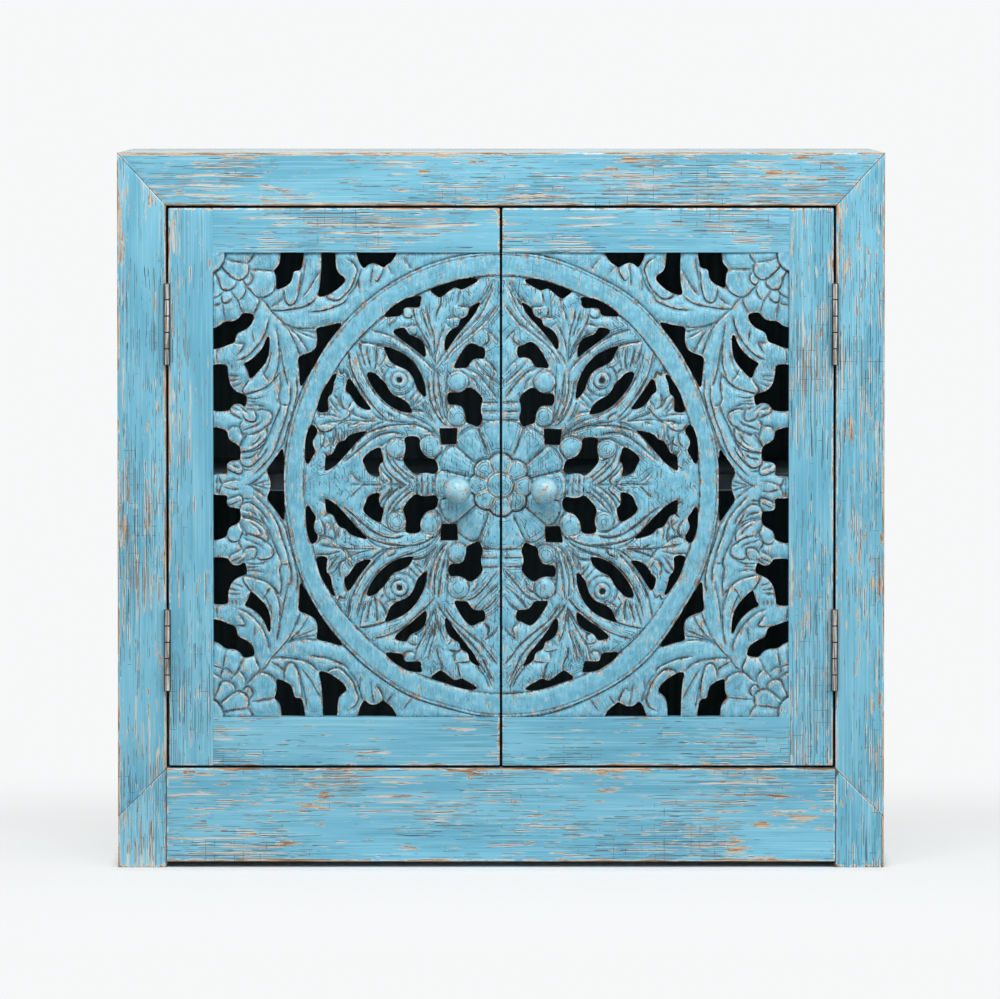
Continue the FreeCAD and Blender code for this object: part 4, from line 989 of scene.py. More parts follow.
def flat_back(plan, edges):
    """Triangles between the outlines of a flat shape. The wood lies on the left of each outline's edges: a
    triangle beside an outline is wood or air, and the rest take after a neighbour that no outline parts
    them from."""
    _, _, found, origins, _, _ = delaunay_2d_cdt(plan.tolist(), edges.tolist(), [], 1, JOINING_DISTANCE)
    source = np.array([origin[0] for origin in origins])
    triangles = source[np.array(found)]
    total = len(plan)
    forward = triangles * total + np.roll(triangles, -1, 1)
    backward = np.roll(triangles, -1, 1) * total + triangles
    outline = edges[:, 0] * total + edges[:, 1]
    beside_wood = np.isin(forward, outline)
    beside_air = np.isin(backward, outline)
    order = np.argsort(forward.ravel())
    match = np.minimum(np.searchsorted(forward.ravel(), backward, sorter=order), forward.size - 1)
    match = order[match]
    parted = beside_wood | beside_air | (forward.ravel()[match] != backward)
    neighbour = match // 3
    kind = np.where(beside_wood.any(1), 1, np.where(beside_air.any(1), -1, 0))
    unsettled = np.count_nonzero(kind == 0)
    while unsettled:
        passed_on = np.where(parted, 0, kind[neighbour]).sum(1)
        kind = np.where(kind == 0, np.sign(passed_on), kind)
        left = np.count_nonzero(kind == 0)
        unsettled = left if left < unsettled else 0
    return triangles[kind > 0]


GROUND_DEPTH = 6 * MM
panel_low, panel_high = corners_of("right_carved_panel")
face_y, panel_back_y = panel_low[Y_AXIS], panel_high[Y_AXIS]
ground_y = face_y + GROUND_DEPTH
door_meeting = corners_of("right_door_top_rail")[0][X_AXIS]
stile_inner = corners_of("right_door_stile")[0][X_AXIS]
field_top = corners_of("right_door_top_rail")[0][Z_AXIS]
field_bottom = corners_of("right_door_bottom_rail")[1][Z_AXIS]
field_middle = (field_top + field_bottom) / 2
metres_across = (stile_inner - door_meeting) / FIELD_ACROSS
metres_up = (field_top - field_bottom) / 2 / FIELD_HALF_UP


def carved_shell(carving, region, used_rows, side):
    """Closed shell of one part of the carving.

    The front is the grid where the wood is, with its points pulled onto the outlines along the slope of the
    distance. Walls go straight back from its free edges, and the back is flat between them.
    """
    solid = np.minimum(carving["gap"], region)
    squares, triangles, on_edge = grid_faces(solid, used_rows)
    slope_v, slope_u = np.gradient(solid, GRID_STEP)
    steepness = np.maximum(slope_u ** 2 + slope_v ** 2, LEAST_STEEPNESS)
    pull = np.where(on_edge, solid / steepness, 0)
    u = carving["u"] - np.clip(pull * slope_u, -FURTHEST_PULL, FURTHEST_PULL)
    u = np.clip(u, 0, FIELD_ACROSS + TUCK)
    v = carving["v"] - np.clip(pull * slope_v, -FURTHEST_PULL, FURTHEST_PULL)
    for border in (0, -1):
        u[:, border] = carving["u"][:, border]
        v[border] = carving["v"][border]
    v[len(v) // 2] = 0
    gap = np.where(on_edge & (carving["gap"] < GRID_STEP), 0, np.maximum(carving["gap"], 0))
    height = np.minimum(carving["height"] - carving["rim_drop"] * bump(gap, RIM_REACH), HIGHEST)

    used = np.unique(np.concatenate([squares.ravel(), triangles.ravel()]))
    renumber = np.zeros(solid.size, np.int64)
    renumber[used] = np.arange(len(used))
    squares, triangles = renumber[squares], renumber[triangles]
    u, v, height = [field.ravel()[used] for field in (u, v, height)]
    front = np.stack([side * (door_meeting + u * metres_across), ground_y - height * MM,
                      field_middle + v * metres_up], -1)

    starts, ends = loose_edges([squares, triangles], len(used))
    rim = np.unique(np.concatenate([starts, ends]))
    order = np.zeros(len(used), np.int64)
    order[rim] = np.arange(len(rim))
    behind = len(used) + order
    back = front[rim].copy()
    back[:, Y_AXIS] = panel_back_y
    walls = np.stack([ends, starts, behind[starts], behind[ends]], -1)
    edges = np.stack([order[starts], order[ends]], -1)
    back_faces = behind[rim][flat_back(np.stack([u[rim], v[rim]], -1), edges)][:, ::-1]

    faces = [squares, triangles, walls, back_faces]
    if side < 0:
        faces = [corner_set[:, ::-1] for corner_set in faces]
    marks = [(name, np.concatenate([field.ravel()[used], np.full(len(rim), BACK_MARKS[name])]))
             for name, field in carving["marks"].items()]
    return np.concatenate([front, back]), faces, marks


def add_carving(side_name, side, finish):
    """Five closed shells for each door: the ring, and the upper and lower halves inside it and outside it."""
    carving = carving_of(side)
    rows = len(carving["v"]) - 1
    upper = np.arange(rows) >= rows // 2
    everywhere = np.ones(rows, bool)
    outer, inner = carving["outer"], carving["inner"]
    parts = (("ring", np.minimum(outer, inner), everywhere),
             ("upper_leaves", -outer, upper), ("lower_leaves", -outer, ~upper),
             ("upper_tracery", -inner, upper), ("lower_tracery", -inner, ~upper))
    for part, region, part_rows in parts:
        add_piece(f"{side_name}_carved_{part}", carved_shell(carving, region, part_rows, side),
                  f"{side_name}_door", f"{side_name}_carved_panel", [finish])


# Knobs: a profile turned about the knob's axis

KNOB_COLUMNS = 72
KNOB_ROWS = 30
KNOB_TIP_ANGLE = np.radians(4)
KNOB_SINK = 5 * MM
KNOB_FLARE = 1.2 * MM
NECK_ROWS = 6
NECK_SHARE = 0.455
NECK_EASE = 1.05
DENT = 0.01
DENT_TURNS = (3, 2)
DENT_TWISTS = (90, 260)


def knob_shell(node):
    """Ball and neck turned about an axis along Y: a circle from the tip to where it meets the neck, then
    the neck with a slight flare, dented a little all round. The two ends are closed with caps. The mark
    from_tip grows from 0 at the tip to 1 where the ball is widest and on towards the neck."""
    low, high = corners_of(node)
    middle = (low + high) / 2
    ball_radius = (high[X_AXIS] - low[X_AXIS]) / 2
    neck_radius = NECK_SHARE * ball_radius
    ball_middle = low[Y_AXIS] + ball_radius
    neck_angle = np.pi - np.arcsin(NECK_EASE * neck_radius / ball_radius)
    turn = np.linspace(KNOB_TIP_ANGLE, neck_angle, KNOB_ROWS)
    neck = np.linspace(0, 1, NECK_ROWS)[1:]
    ball_depth = ball_middle - ball_radius * np.cos(turn)
    neck_depth = ball_depth[-1] + (high[Y_AXIS] + KNOB_SINK - ball_depth[-1]) * neck
    depth = np.concatenate([ball_depth, neck_depth])
    reach = np.concatenate([ball_radius * np.sin(turn), neck_radius + KNOB_FLARE * neck ** 2])
    around = np.linspace(0, 2 * np.pi, KNOB_COLUMNS, endpoint=False)
    dents = (np.sin(DENT_TURNS[0] * around[None] + DENT_TWISTS[0] * depth[:, None])
             * np.sin(DENT_TURNS[1] * around[None] - DENT_TWISTS[1] * depth[:, None]))
    radius = reach[:, None] * (1 - DENT + DENT * dents)
    points = np.stack([middle[X_AXIS] + radius * np.cos(around),
                       np.broadcast_to(depth[:, None], radius.shape),
                       middle[Z_AXIS] + radius * np.sin(around)], -1)
    rows = len(depth)
    walls = ribbons(rows, KNOB_COLUMNS)[:, ::-1]
    tip = np.arange(KNOB_COLUMNS)[None]
    root = ((rows - 1) * KNOB_COLUMNS + np.arange(KNOB_COLUMNS))[::-1][None]
    out = reach / ball_radius
    from_tip = np.repeat(np.where(depth < ball_middle, out, 2 - out), KNOB_COLUMNS)
    return points.reshape(-1, 3), (walls, tip, root), (("from_tip", from_tip),)


# Nodes for the finishes: each value is a number or the output of another node

def joined(socket, value):
    """Joins an input to another node's output, or sets it. Colours are given as red, green and blue."""
    if isinstance(value, bpy.types.NodeSocket):
        socket.id_data.links.new(value, socket)
    elif socket.type == "RGBA":
        socket.default_value = (*value, 1)
    else:
        socket.default_value = value


def wired(tree, kind, **inputs):
    """New node with its named inputs joined or set."""
    node = tree.nodes.new(kind)
    for label, value in inputs.items():
        joined(node.inputs[label], value)
    return node


def reckoned(operation, first, second=0.0):
    """Result of an operation on one or two values."""
    tree = (second if isinstance(first, float) else first).id_data
    node = tree.nodes.new("ShaderNodeMath")
    node.operation = operation
    joined(node.inputs[0], first)
    joined(node.inputs[1], second)
    return node.outputs[0]


def chain(operation):
    """A function that joins any number of values by one operation."""
    def in_turn(first, *others):
        for other in others:
            first = reckoned(operation, first, other)
        return first
    return in_turn


added = chain("ADD")
times = chain("MULTIPLY")
most = chain("MAXIMUM")


def less(first, second):
    """Difference of two values."""
    return reckoned("SUBTRACT", first, second)


def unsigned(value):
    """Size of a value without its sign."""
    return reckoned("ABSOLUTE", value)


def off_middle(field, reach):
    """A field from 0 to 1, moved to swing about 0 and multiplied by a reach."""
    return times(less(field, 0.5), reach)


def between(value, low, high):
    """0 at low, 1 at high and smooth in between, for low above high too."""
    node = wired(value.id_data, "ShaderNodeMapRange", **{"Value": value, "From Min": low, "From Max": high})
    node.interpolation_type = "SMOOTHSTEP"
    return node.outputs[0]


MIX_SHARE, MIX_FIRST_COLOUR, MIX_SECOND_COLOUR = 0, 6, 7
MIXED_COLOUR = 2


def blended(share, first, second):
    """Colour between two colours."""
    node = share.id_data.nodes.new("ShaderNodeMix")
    node.data_type = "RGBA"
    joined(node.inputs[MIX_SHARE], share)
    joined(node.inputs[MIX_FIRST_COLOUR], first)
    joined(node.inputs[MIX_SECOND_COLOUR], second)
    return node.outputs[MIXED_COLOUR]


def mark(tree, name):
    """A mark carried by the points of a piece."""
    node = tree.nodes.new("ShaderNodeAttribute")
    node.attribute_name = name
    return node.outputs["Fac"]


def on_object(tree):
    """The place on the object."""
    return tree.nodes.new("ShaderNodeTexCoord").outputs["Object"]


def axes_of(place):
    """The three coordinates of a place."""
    return wired(place.id_data, "ShaderNodeSeparateXYZ", Vector=place).outputs


def flat_place(x, y):
    """A place on a flat pattern."""
    return wired(x.id_data, "ShaderNodeCombineXYZ", X=x, Y=y).outputs[0]


def mottle(place, scale, stretch=(1, 1, 1), detail=3.0, roughness=0.55, dimensions="2D", levels=None):
    """Noise with so many features to a metre, drawn out along an axis by a stretch below 1. With levels, 0
    where the noise is at the first of them, 1 at the second and smooth in between."""
    moved = wired(place.id_data, "ShaderNodeMapping", Vector=place, Scale=stretch).outputs[0]
    noise = wired(place.id_data, "ShaderNodeTexNoise", Vector=moved, Scale=scale, Detail=detail,
                  Roughness=roughness)
    noise.noise_dimensions = dimensions
    return between(noise.outputs[0], *levels) if levels else noise.outputs[0]


def new_finish(name):
    """A node finish, its tree and its shader."""
    finish = bpy.data.materials.new(name)
    finish.use_nodes = True
    return finish, finish.node_tree, finish.node_tree.nodes["Principled BSDF"]


def coloured(shader, colour):
    """Joins a colour to the shader."""
    joined(shader.inputs["Base Color"], colour)


def roughened(shader, share, least, greatest):
    """Joins a roughness that goes from the least to the greatest as the share goes from 0 to 1."""
    rough = wired(shader.id_data, "ShaderNodeMapRange",
                  **{"Value": share, "To Min": least, "To Max": greatest})
    joined(shader.inputs["Roughness"], rough.outputs[0])


def raised(shader, height, strength, distance):
    """Joins a height to the shader as relief."""
    relief = wired(shader.id_data, "ShaderNodeBump", Height=height, Strength=strength, Distance=distance)
    joined(shader.inputs["Normal"], relief.outputs["Normal"])


# Thin lines in the paint, in millimetres

HAIRS = {"spacing": 2.3, "half_width": 0.48, "run": 44, "least": 0.500, "seed": 1, "sway": 5.0}
SPLITS = {"spacing": 6.0, "half_width": 0.72, "run": 50, "least": 0.540, "seed": 2, "sway": 6.0}
CROSSING = {"spacing": 15.0, "half_width": 0.50, "run": 9, "least": 0.605, "seed": 3, "sway": 2.0}
SHORT_LINES = {"spacing": 3.4, "half_width": 0.62, "run": 36, "least": 0.625, "seed": 4, "sway": 6.0}
LONG_LINES = {"spacing": 10.0, "half_width": 0.74, "run": 95, "least": 0.560, "seed": 5, "sway": 10.0}
BESIDE_LINES = {"spacing": 2.5, "half_width": 0.60, "run": 13, "least": 0.500, "seed": 6, "sway": 3.0}
UPRIGHT = {"spacing": 3.2, "half_width": 0.54, "run": 12, "least": 0.525, "seed": 7, "sway": 14.0}
SLOPING = {"spacing": 4.2, "half_width": 0.50, "run": 10, "least": 0.535, "seed": 8, "sway": 14.0}
DASHES = {"spacing": 5.5, "half_width": 0.90, "run": 12, "least": 0.630, "seed": 9, "sway": 16.0}
SWAY_NOISE = {"scale": 26, "detail": 4.0}
SWAY_DRAW = 0.3
SEED_STEP = 31.7
STRIP_STEP = 0.618
LINE_ROOM = 0.6
LINE_MARGIN = 0.2
LINE_CORE = 0.35
RAGGED_END = 0.12


def strands(along, aside, crowd, spacing, half_width, run, least, seed, sway):
    """Thin lines drawn out along the grain.

    Each strip of the spacing's width has one line at a random place across it. The lines sway together, and
    each is broken into runs with ragged, tapered ends: noise along it plus the crowding of the place must
    pass the least value. Gives 1 on the lines, the distance to the line of the strip, and 1 where its runs
    show.
    """
    swing = mottle(flat_place(times(along, SWAY_DRAW), aside), **SWAY_NOISE)
    moved = added(times(aside, 1 / (spacing * MM)), off_middle(swing, sway / spacing))
    strip = added(reckoned("FLOOR", moved), SEED_STEP * seed)
    chance = strip.id_data.nodes.new("ShaderNodeTexWhiteNoise")
    chance.noise_dimensions = "1D"
    joined(chance.inputs["W"], strip)
    middle = added(times(chance.outputs["Value"], LINE_ROOM), LINE_MARGIN)
    off_line = less(reckoned("FRACT", moved), middle)
    run_place = flat_place(times(along, 1 / (run * MM)), times(strip, STRIP_STEP))
    shows = between(added(mottle(run_place, scale=1.0), crowd), least, least + RAGGED_END)
    tapered = times(less(1.0, shows), half_width)
    away = added(times(unsigned(off_line), spacing), tapered)
    return between(away, half_width, LINE_CORE * half_width), away, shows


# Finishes. A table of noise holds what mottle() is told. A pair says where a value starts to count and where
# it counts in full, with distances in millimetres on boards and in pixels on the carving. A share says how
# much of a colour is laid on, and a rise how much a mark lifts the surface.

PAINT_LIGHT = (0.206, 0.552, 0.720)
PAINT_DEEP = (0.136, 0.440, 0.600)
# darker blue, for deeper streaks and for the painted shade in the carving's hollows and round the knobs
PAINT_SHADE = (0.078, 0.262, 0.360)
PAINT_PALE = (0.480, 0.740, 0.830)
# paler paint for the top board: a painted highlight for light falling on the top
TOP_HIGHLIGHT_LIGHT = (0.66, 0.80, 0.85)
TOP_HIGHLIGHT_DEEP = (0.54, 0.74, 0.81)
CRACK_BROWN = (0.110, 0.062, 0.036)
CRACK_DARK = (0.018, 0.026, 0.030)
TAN_WOOD = (0.350, 0.190, 0.092)
TAN_LINE = (0.300, 0.145, 0.062)
CREAM_WOOD = (0.700, 0.560, 0.420)
CHALK = (0.780, 0.790, 0.740)
# cream for the chalky lines, which beside the cuts are worn chalk and also a painted highlight
CREAM_LINE = (0.800, 0.715, 0.600)
# near black for the painted shade in the carving's cuts
GROOVE_SHADE = (0.012, 0.020, 0.024)
HINGE_LIGHT = (0.60, 0.58, 0.55)
HINGE_DARK = (0.10, 0.09, 0.08)
HINGE_BROWN = (0.22, 0.12, 0.06)
# near black for the painted shade on the hinge barrels
HINGE_SHADE = (0.016, 0.014, 0.013)
KNOB_LIGHT = (0.42, 0.69, 0.79)
KNOB_DEEP = (0.25, 0.56, 0.70)
INSIDE = ((0.022, 0.034, 0.038), (0.062, 0.090, 0.100))
SLATE = ((0.105, 0.155, 0.172), (0.205, 0.285, 0.310))
TEAL = ((0.170, 0.250, 0.275), (0.310, 0.420, 0.455))
CLEAT_WOOD = ((0.30, 0.19, 0.10), (0.48, 0.34, 0.20))
STEEL = ((0.34, 0.34, 0.34), (0.58, 0.58, 0.57))
PLASTIC = ((0.050, 0.030, 0.018), (0.070, 0.042, 0.026))
PAINT_ROUGHNESS = (0.46, 0.82)
PAINT_RELIEF = 0.6 * MM
GRAIN_RELIEF = 0.4 * MM

WOOD_STREAK = {"scale": 300, "detail": 4.0, "roughness": 0.62, "levels": (0.36, 0.64)}
PALE_STREAK = (0.54, 0.70)
SHADE_STREAK = (0.46, 0.32)


def bare_wood_colour(place, stretch):
    """Tan to cream wood, streaked along the grain."""
    return blended(mottle(place, stretch=stretch, **WOOD_STREAK), TAN_WOOD, CREAM_WOOD)


def streaked_paint(tone, streak, light, deep, pale_share, shade_share):
    """Paint between its deep and its light tone, with pale and shaded streaks."""
    paint = blended(tone, deep, light)
    paint = blended(times(between(streak, *PALE_STREAK), pale_share), paint, PAINT_PALE)
    return blended(times(between(streak, *SHADE_STREAK), shade_share), paint, PAINT_SHADE)


BOARD_TONE = {"scale": 24, "stretch": (0.2, 1, 1), "levels": (0.32, 0.68)}
BOARD_STREAK = {"scale": 460, "stretch": (0.014, 1, 1), "detail": 2.0, "roughness": 0.6}
BOARD_STREAK_SHARES = (0.36, 0.26)
BOARD_GRAIN = (0.06, 1, 1)
CRACK_CROWD = {"scale": 11, "stretch": (0.45, 1, 1)}
CRACK_CROWDING = 0.95
WORN_CROWD = {"scale": 17, "stretch": (0.40, 1, 1)}
WORN_CROWDING = 1.25
JOINT_DARK = (0.8, 0.2)
LIP_BREAKS = {"scale": 50, "stretch": (0.4, 1, 1), "levels": (0.49, 0.56)}
SPLIT_LIP = (1.9, 1.2)
LONG_LIP = (1.4, 0.9)
JOINT_LIP = (2.3, 1.7)
BOARD_FLECKS = {"scale": 130, "stretch": (0.16, 1, 1), "detail": 6.0, "roughness": 0.66}
FLECK_CLUSTERS = {"scale": 13, "stretch": (0.5, 1, 1), "levels": (0.46, 0.70)}
CLUSTER_WEAR = 0.11
NEAR_EDGE = (12.0, 0.0)
NEAR_EDGE_WEAR = 0.04
FLECK_BORDER = (0.678, 0.694)
FLECK_BARE = (0.698, 0.710)
EDGE_RAGS = {"scale": 75, "stretch": (0.2, 1, 1), "detail": 6.0, "roughness": 0.68}
EDGE_LEAST = 0.465
EDGE_REACH = 11.0
EDGE_BORDER = (0.9, 0.5)
EDGE_BARE = (0.1, -0.25)
BROWNING = {"scale": 60, "stretch": (0.35, 1, 1), "levels": (0.44, 0.56)}
HAIR_SHARE = 0.76
CHALK_SHARE = 0.7
WORN_LINE_SHARE = 0.92
CRACK_SHARE = 0.88
CRACK_RISE = -0.8
BARE_RISE = -0.5
STREAK_RISE = 0.5
BOARD_STRENGTH = 0.6


def worn_paint(name, light=PAINT_LIGHT, deep=PAINT_DEEP):
    """Sky blue paint on boards: pale and deep streaks, hairlines and splits along the grain, a few lines
    across it, thin lines and flecks worn to the wood with a chalky border, edges bare in places and dark
    joints."""
    finish, tree, shader = new_finish(name)
    pattern = tree.nodes.new("ShaderNodeUVMap")
    pattern.uv_map = "unrolled"
    place = pattern.outputs[0]
    along, aside, _ = axes_of(place)
    edge = mark(tree, "edge_mm")
    joint = mark(tree, "joint_mm")
    wear = mark(tree, "wear")
    streak = mottle(place, **BOARD_STREAK)
    paint = streaked_paint(mottle(place, **BOARD_TONE), streak, light, deep, *BOARD_STREAK_SHARES)

    # lines along and across the grain
    crowd = off_middle(mottle(place, **CRACK_CROWD), CRACK_CROWDING)
    crowd_of_worn = added(off_middle(mottle(place, **WORN_CROWD), WORN_CROWDING), wear)
    hairs = strands(along, aside, crowd, **HAIRS)[0]
    splits, to_split, split_shows = strands(along, aside, crowd, **SPLITS)
    crossing = strands(aside, along, crowd, **CROSSING)[0]
    short_lines = strands(along, aside, crowd_of_worn, **SHORT_LINES)[0]
    long_lines, to_long, long_shows = strands(along, aside, crowd_of_worn, **LONG_LINES)
    cracks = most(times(most(hairs, crossing), HAIR_SHARE), splits, between(joint, *JOINT_DARK))
    worn_lines = most(short_lines, long_lines)
    broken = mottle(place, **LIP_BREAKS)
    lips = times(between(to_split, *SPLIT_LIP), split_shows, broken)
    long_lips = times(between(to_long, *LONG_LIP), long_shows)
    joint_lips = times(between(joint, *JOINT_LIP), broken)

    # flecks and edges worn to the wood
    fleck = mottle(place, **BOARD_FLECKS)
    cluster = times(mottle(place, **FLECK_CLUSTERS), CLUSTER_WEAR)
    near_edge = times(between(edge, *NEAR_EDGE), NEAR_EDGE_WEAR)
    worn = added(added(fleck, cluster), added(near_edge, wear))
    border = between(worn, *FLECK_BORDER)
    bare = between(worn, *FLECK_BARE)
    ragged = mottle(place, **EDGE_RAGS)
    beyond = less(edge, times(added(less(ragged, EDGE_LEAST), wear), EDGE_REACH))
    edge_border = between(beyond, *EDGE_BORDER)
    edge_bare = between(beyond, *EDGE_BARE)

    chalky = most(lips, long_lips, border, edge_border, joint_lips)
    patches = most(bare, edge_bare)
    all_bare = most(patches, worn_lines)
    browned = mottle(place, **BROWNING)
    colour = blended(times(chalky, CHALK_SHARE), paint, CHALK)
    colour = blended(patches, colour, bare_wood_colour(place, BOARD_GRAIN))
    colour = blended(times(worn_lines, WORN_LINE_SHARE), colour, blended(browned, CREAM_WOOD, TAN_LINE))
    colour = blended(times(cracks, CRACK_SHARE), colour, blended(browned, CRACK_DARK, CRACK_BROWN))
    coloured(shader, colour)
    roughened(shader, all_bare, *PAINT_ROUGHNESS)
    lowered = added(times(cracks, CRACK_RISE), times(all_bare, BARE_RISE))
    raised(shader, added(lowered, times(streak, STREAK_RISE)), BOARD_STRENGTH, PAINT_RELIEF)
    return finish


CARVED_TONE = {"scale": 60, "levels": (0.34, 0.66)}
CARVED_STREAK = {"scale": 330, "stretch": (1, 0.22, 1), "detail": 4.0, "roughness": 0.62}
CARVED_STREAK_SHARES = (0.45, 0.40)
CARVED_GRAIN = (1, 0.3, 1)
# painted highlight on the carving's crests and painted shade in its hollows
CREST_HIGHLIGHT = (0.1, 0.8)
CREST_HIGHLIGHT_SHARE = 0.28
HOLLOW_SHADE = (-0.15, -0.9)
HOLLOW_SHADE_SHARE = 0.55
LINE_BREAKS = {"scale": 120, "stretch": (1, 0.7, 1)}
LINE_RAGS = {"scale": 210, "stretch": (1, 0.6, 1), "detail": 5.0, "roughness": 0.65}
LINE_UNEVENNESS = 4.0
# where the painted shade along the cuts starts and where it is full
CUT_SHADE = (0.85, 0.25)
DARK_UNEVENNESS = 0.5
DARKNESS = {"scale": 75, "levels": (0.40, 0.58)}
DARKNESS_SPREAD = 0.45
LEAST_DARKNESS = 0.47
PAST_CUT = (0.5, 1.0)
# chalky line beside the cuts on their lifted side: worn chalk and a painted highlight
CHALK_HIGHLIGHT_BY_CUT = (2.3, 1.5)
CHALK_HIGHLIGHT_LIFT = (0.05, 0.45)
CHALK_HIGHLIGHT_BREAKS = (0.36, 0.48)
CHALK_BY_GAP = (1.7, 1.0)
CHALK_GAP_BREAKS = (0.47, 0.55)
CHALK_GAP_SHARE = 0.7
BARE_BY_CUT = (1.8, 1.3)
BARE_BY_GAP = (1.35, 0.85)
BARE_BREAKS = (0.54, 0.50)
BARE_STREAK = (0.42, 0.52)
SLANT = np.radians(52)
SCRATCH_CROWD = {"scale": 34}
SCRATCH_CROWDING = 0.55
DASH_CROWD = {"scale": 46}
DASH_CROWDING = 0.60
DASH_BORDER = (1.7, 1.2)
CARVED_FLECKS = {"scale": 150, "stretch": (1, 0.42, 1), "detail": 6.0, "roughness": 0.66}
CREST_WEAR = 0.06
BY_EDGE = (6.5, 1.0)
BY_EDGE_WEAR = 0.065
PATCH_BARE = (0.706, 0.720)
PATCH_BORDER = (0.678, 0.696)
PATCH_BORDER_SHARE = 0.35
CHALK_AND_HIGHLIGHT_SHARE = 0.78
FLECK_SHARE = 0.9
BARE_LINE_SHARE = 0.9
SCRATCH_BROWNING = (0.46, 0.58)
SCRATCH_SHARE = 0.82
SCRATCH_RISE = -0.8
CARVED_BARE_RISE = -0.4
CARVED_STREAK_RISE = 0.8
CARVED_STRENGTH = 0.7


def carved_paint(name):
    """The same paint on carving: painted shade in the cuts and hollows, a painted highlight on the crests,
    chalky and bare lines on the lifted side of the cuts and round the openings, the chalky ones beside the
    cuts also a painted highlight, strokes beside the carved lines, scratches down the leaves and aslant, and
    bare flecks, most on the crests. Drawn as seen from the front."""
    finish, tree, shader = new_finish(name)
    aside, _, along = axes_of(on_object(tree))
    place = flat_place(aside, along)
    slant = wired(tree, "ShaderNodeVectorRotate", Vector=place, Angle=SLANT)
    slant_along, slant_aside, _ = axes_of(slant.outputs[0])
    cut, gap, lift, crest, strokes = [mark(tree, mark_name) for mark_name in BACK_MARKS]
    streak = mottle(place, **CARVED_STREAK)
    paint = streaked_paint(mottle(place, **CARVED_TONE), streak, PAINT_LIGHT, PAINT_DEEP,
                           *CARVED_STREAK_SHARES)
    # painted highlight on the crests, and painted shade in the hollows between them
    paint = blended(times(between(crest, *CREST_HIGHLIGHT), CREST_HIGHLIGHT_SHARE), paint, PAINT_PALE)
    paint = blended(times(between(crest, *HOLLOW_SHADE), HOLLOW_SHADE_SHARE), paint, PAINT_SHADE)

    # lines along the cuts and round the openings, with painted shade in the cuts
    broad = mottle(place, **LINE_BREAKS)
    unevenness = off_middle(mottle(place, **LINE_RAGS), LINE_UNEVENNESS)
    from_cut = added(cut, unevenness)
    from_gap = added(gap, unevenness)
    # painted shade: near black along every cut line and in the eye's bored hole
    cut_shade = between(added(cut, times(unevenness, DARK_UNEVENNESS)), *CUT_SHADE)
    depth_of_dark = added(times(mottle(place, **DARKNESS), DARKNESS_SPREAD), LEAST_DARKNESS)
    past_cut = between(cut, *PAST_CUT)
    beside_cut = times(between(from_cut, *CHALK_HIGHLIGHT_BY_CUT), past_cut)
    # a chalky line on the lifted side of the cuts, worn chalk that is also a painted highlight
    chalk_and_highlight_line = times(beside_cut, between(lift, *CHALK_HIGHLIGHT_LIFT), between(broad, *CHALK_HIGHLIGHT_BREAKS))
    chalk_rim = times(between(from_gap, *CHALK_BY_GAP), CHALK_GAP_SHARE, between(broad, *CHALK_GAP_BREAKS))
    chalk_and_highlight = most(chalk_and_highlight_line, chalk_rim)
    thin_line = times(between(from_cut, *BARE_BY_CUT), past_cut)
    thin_line = most(thin_line, between(from_gap, *BARE_BY_GAP))
    bare_line = times(thin_line, between(broad, *BARE_BREAKS), between(streak, *BARE_STREAK))

    # scratches and bare flecks
    crowd = off_middle(mottle(place, **SCRATCH_CROWD), SCRATCH_CROWDING)
    crowd_of_worn = off_middle(mottle(place, **DASH_CROWD), DASH_CROWDING)
    from_line = times(cut, float(metres_across))
    beside_lines = strands(slant_along, from_line, crowd, **BESIDE_LINES)[0]
    upright = strands(along, aside, crowd, **UPRIGHT)[0]
    sloping = strands(slant_along, slant_aside, crowd, **SLOPING)[0]
    dashes, to_dash, dash_shows = strands(along, aside, crowd_of_worn, **DASHES)
    scratches = times(most(upright, sloping, beside_lines), strokes)
    by_edge = between(reckoned("MINIMUM", cut, gap), *BY_EDGE)
    fleck = added(mottle(place, **CARVED_FLECKS), times(crest, CREST_WEAR), times(by_edge, BY_EDGE_WEAR))
    dash_border = times(between(to_dash, *DASH_BORDER), dash_shows)
    patch_border = most(between(fleck, *PATCH_BORDER), dash_border)
    flecks = most(between(fleck, *PATCH_BARE), dashes)
    all_bare = most(flecks, bare_line)

    scratch_colour = blended(between(broad, *SCRATCH_BROWNING), CRACK_DARK, CRACK_BROWN)
    colour = blended(times(patch_border, PATCH_BORDER_SHARE), paint, CHALK)
    # chalky lines, beside the cuts partly a painted highlight
    colour = blended(times(chalk_and_highlight, CHALK_AND_HIGHLIGHT_SHARE), colour, CREAM_LINE)
    colour = blended(times(flecks, FLECK_SHARE), colour, bare_wood_colour(place, CARVED_GRAIN))
    colour = blended(times(bare_line, BARE_LINE_SHARE), colour, TAN_LINE)
    colour = blended(times(scratches, SCRATCH_SHARE), colour, scratch_colour)
    # the painted shade in the cuts, laid over everything
    colour = blended(times(cut_shade, depth_of_dark), colour, GROOVE_SHADE)
    coloured(shader, colour)
    roughened(shader, all_bare, *PAINT_ROUGHNESS)
    lowered = added(times(scratches, SCRATCH_RISE), times(all_bare, CARVED_BARE_RISE))
    raised(shader, added(lowered, times(streak, CARVED_STREAK_RISE)), CARVED_STRENGTH, PAINT_RELIEF)
    return finish


KNOB_TONE = {"scale": 70, "levels": (0.34, 0.66)}
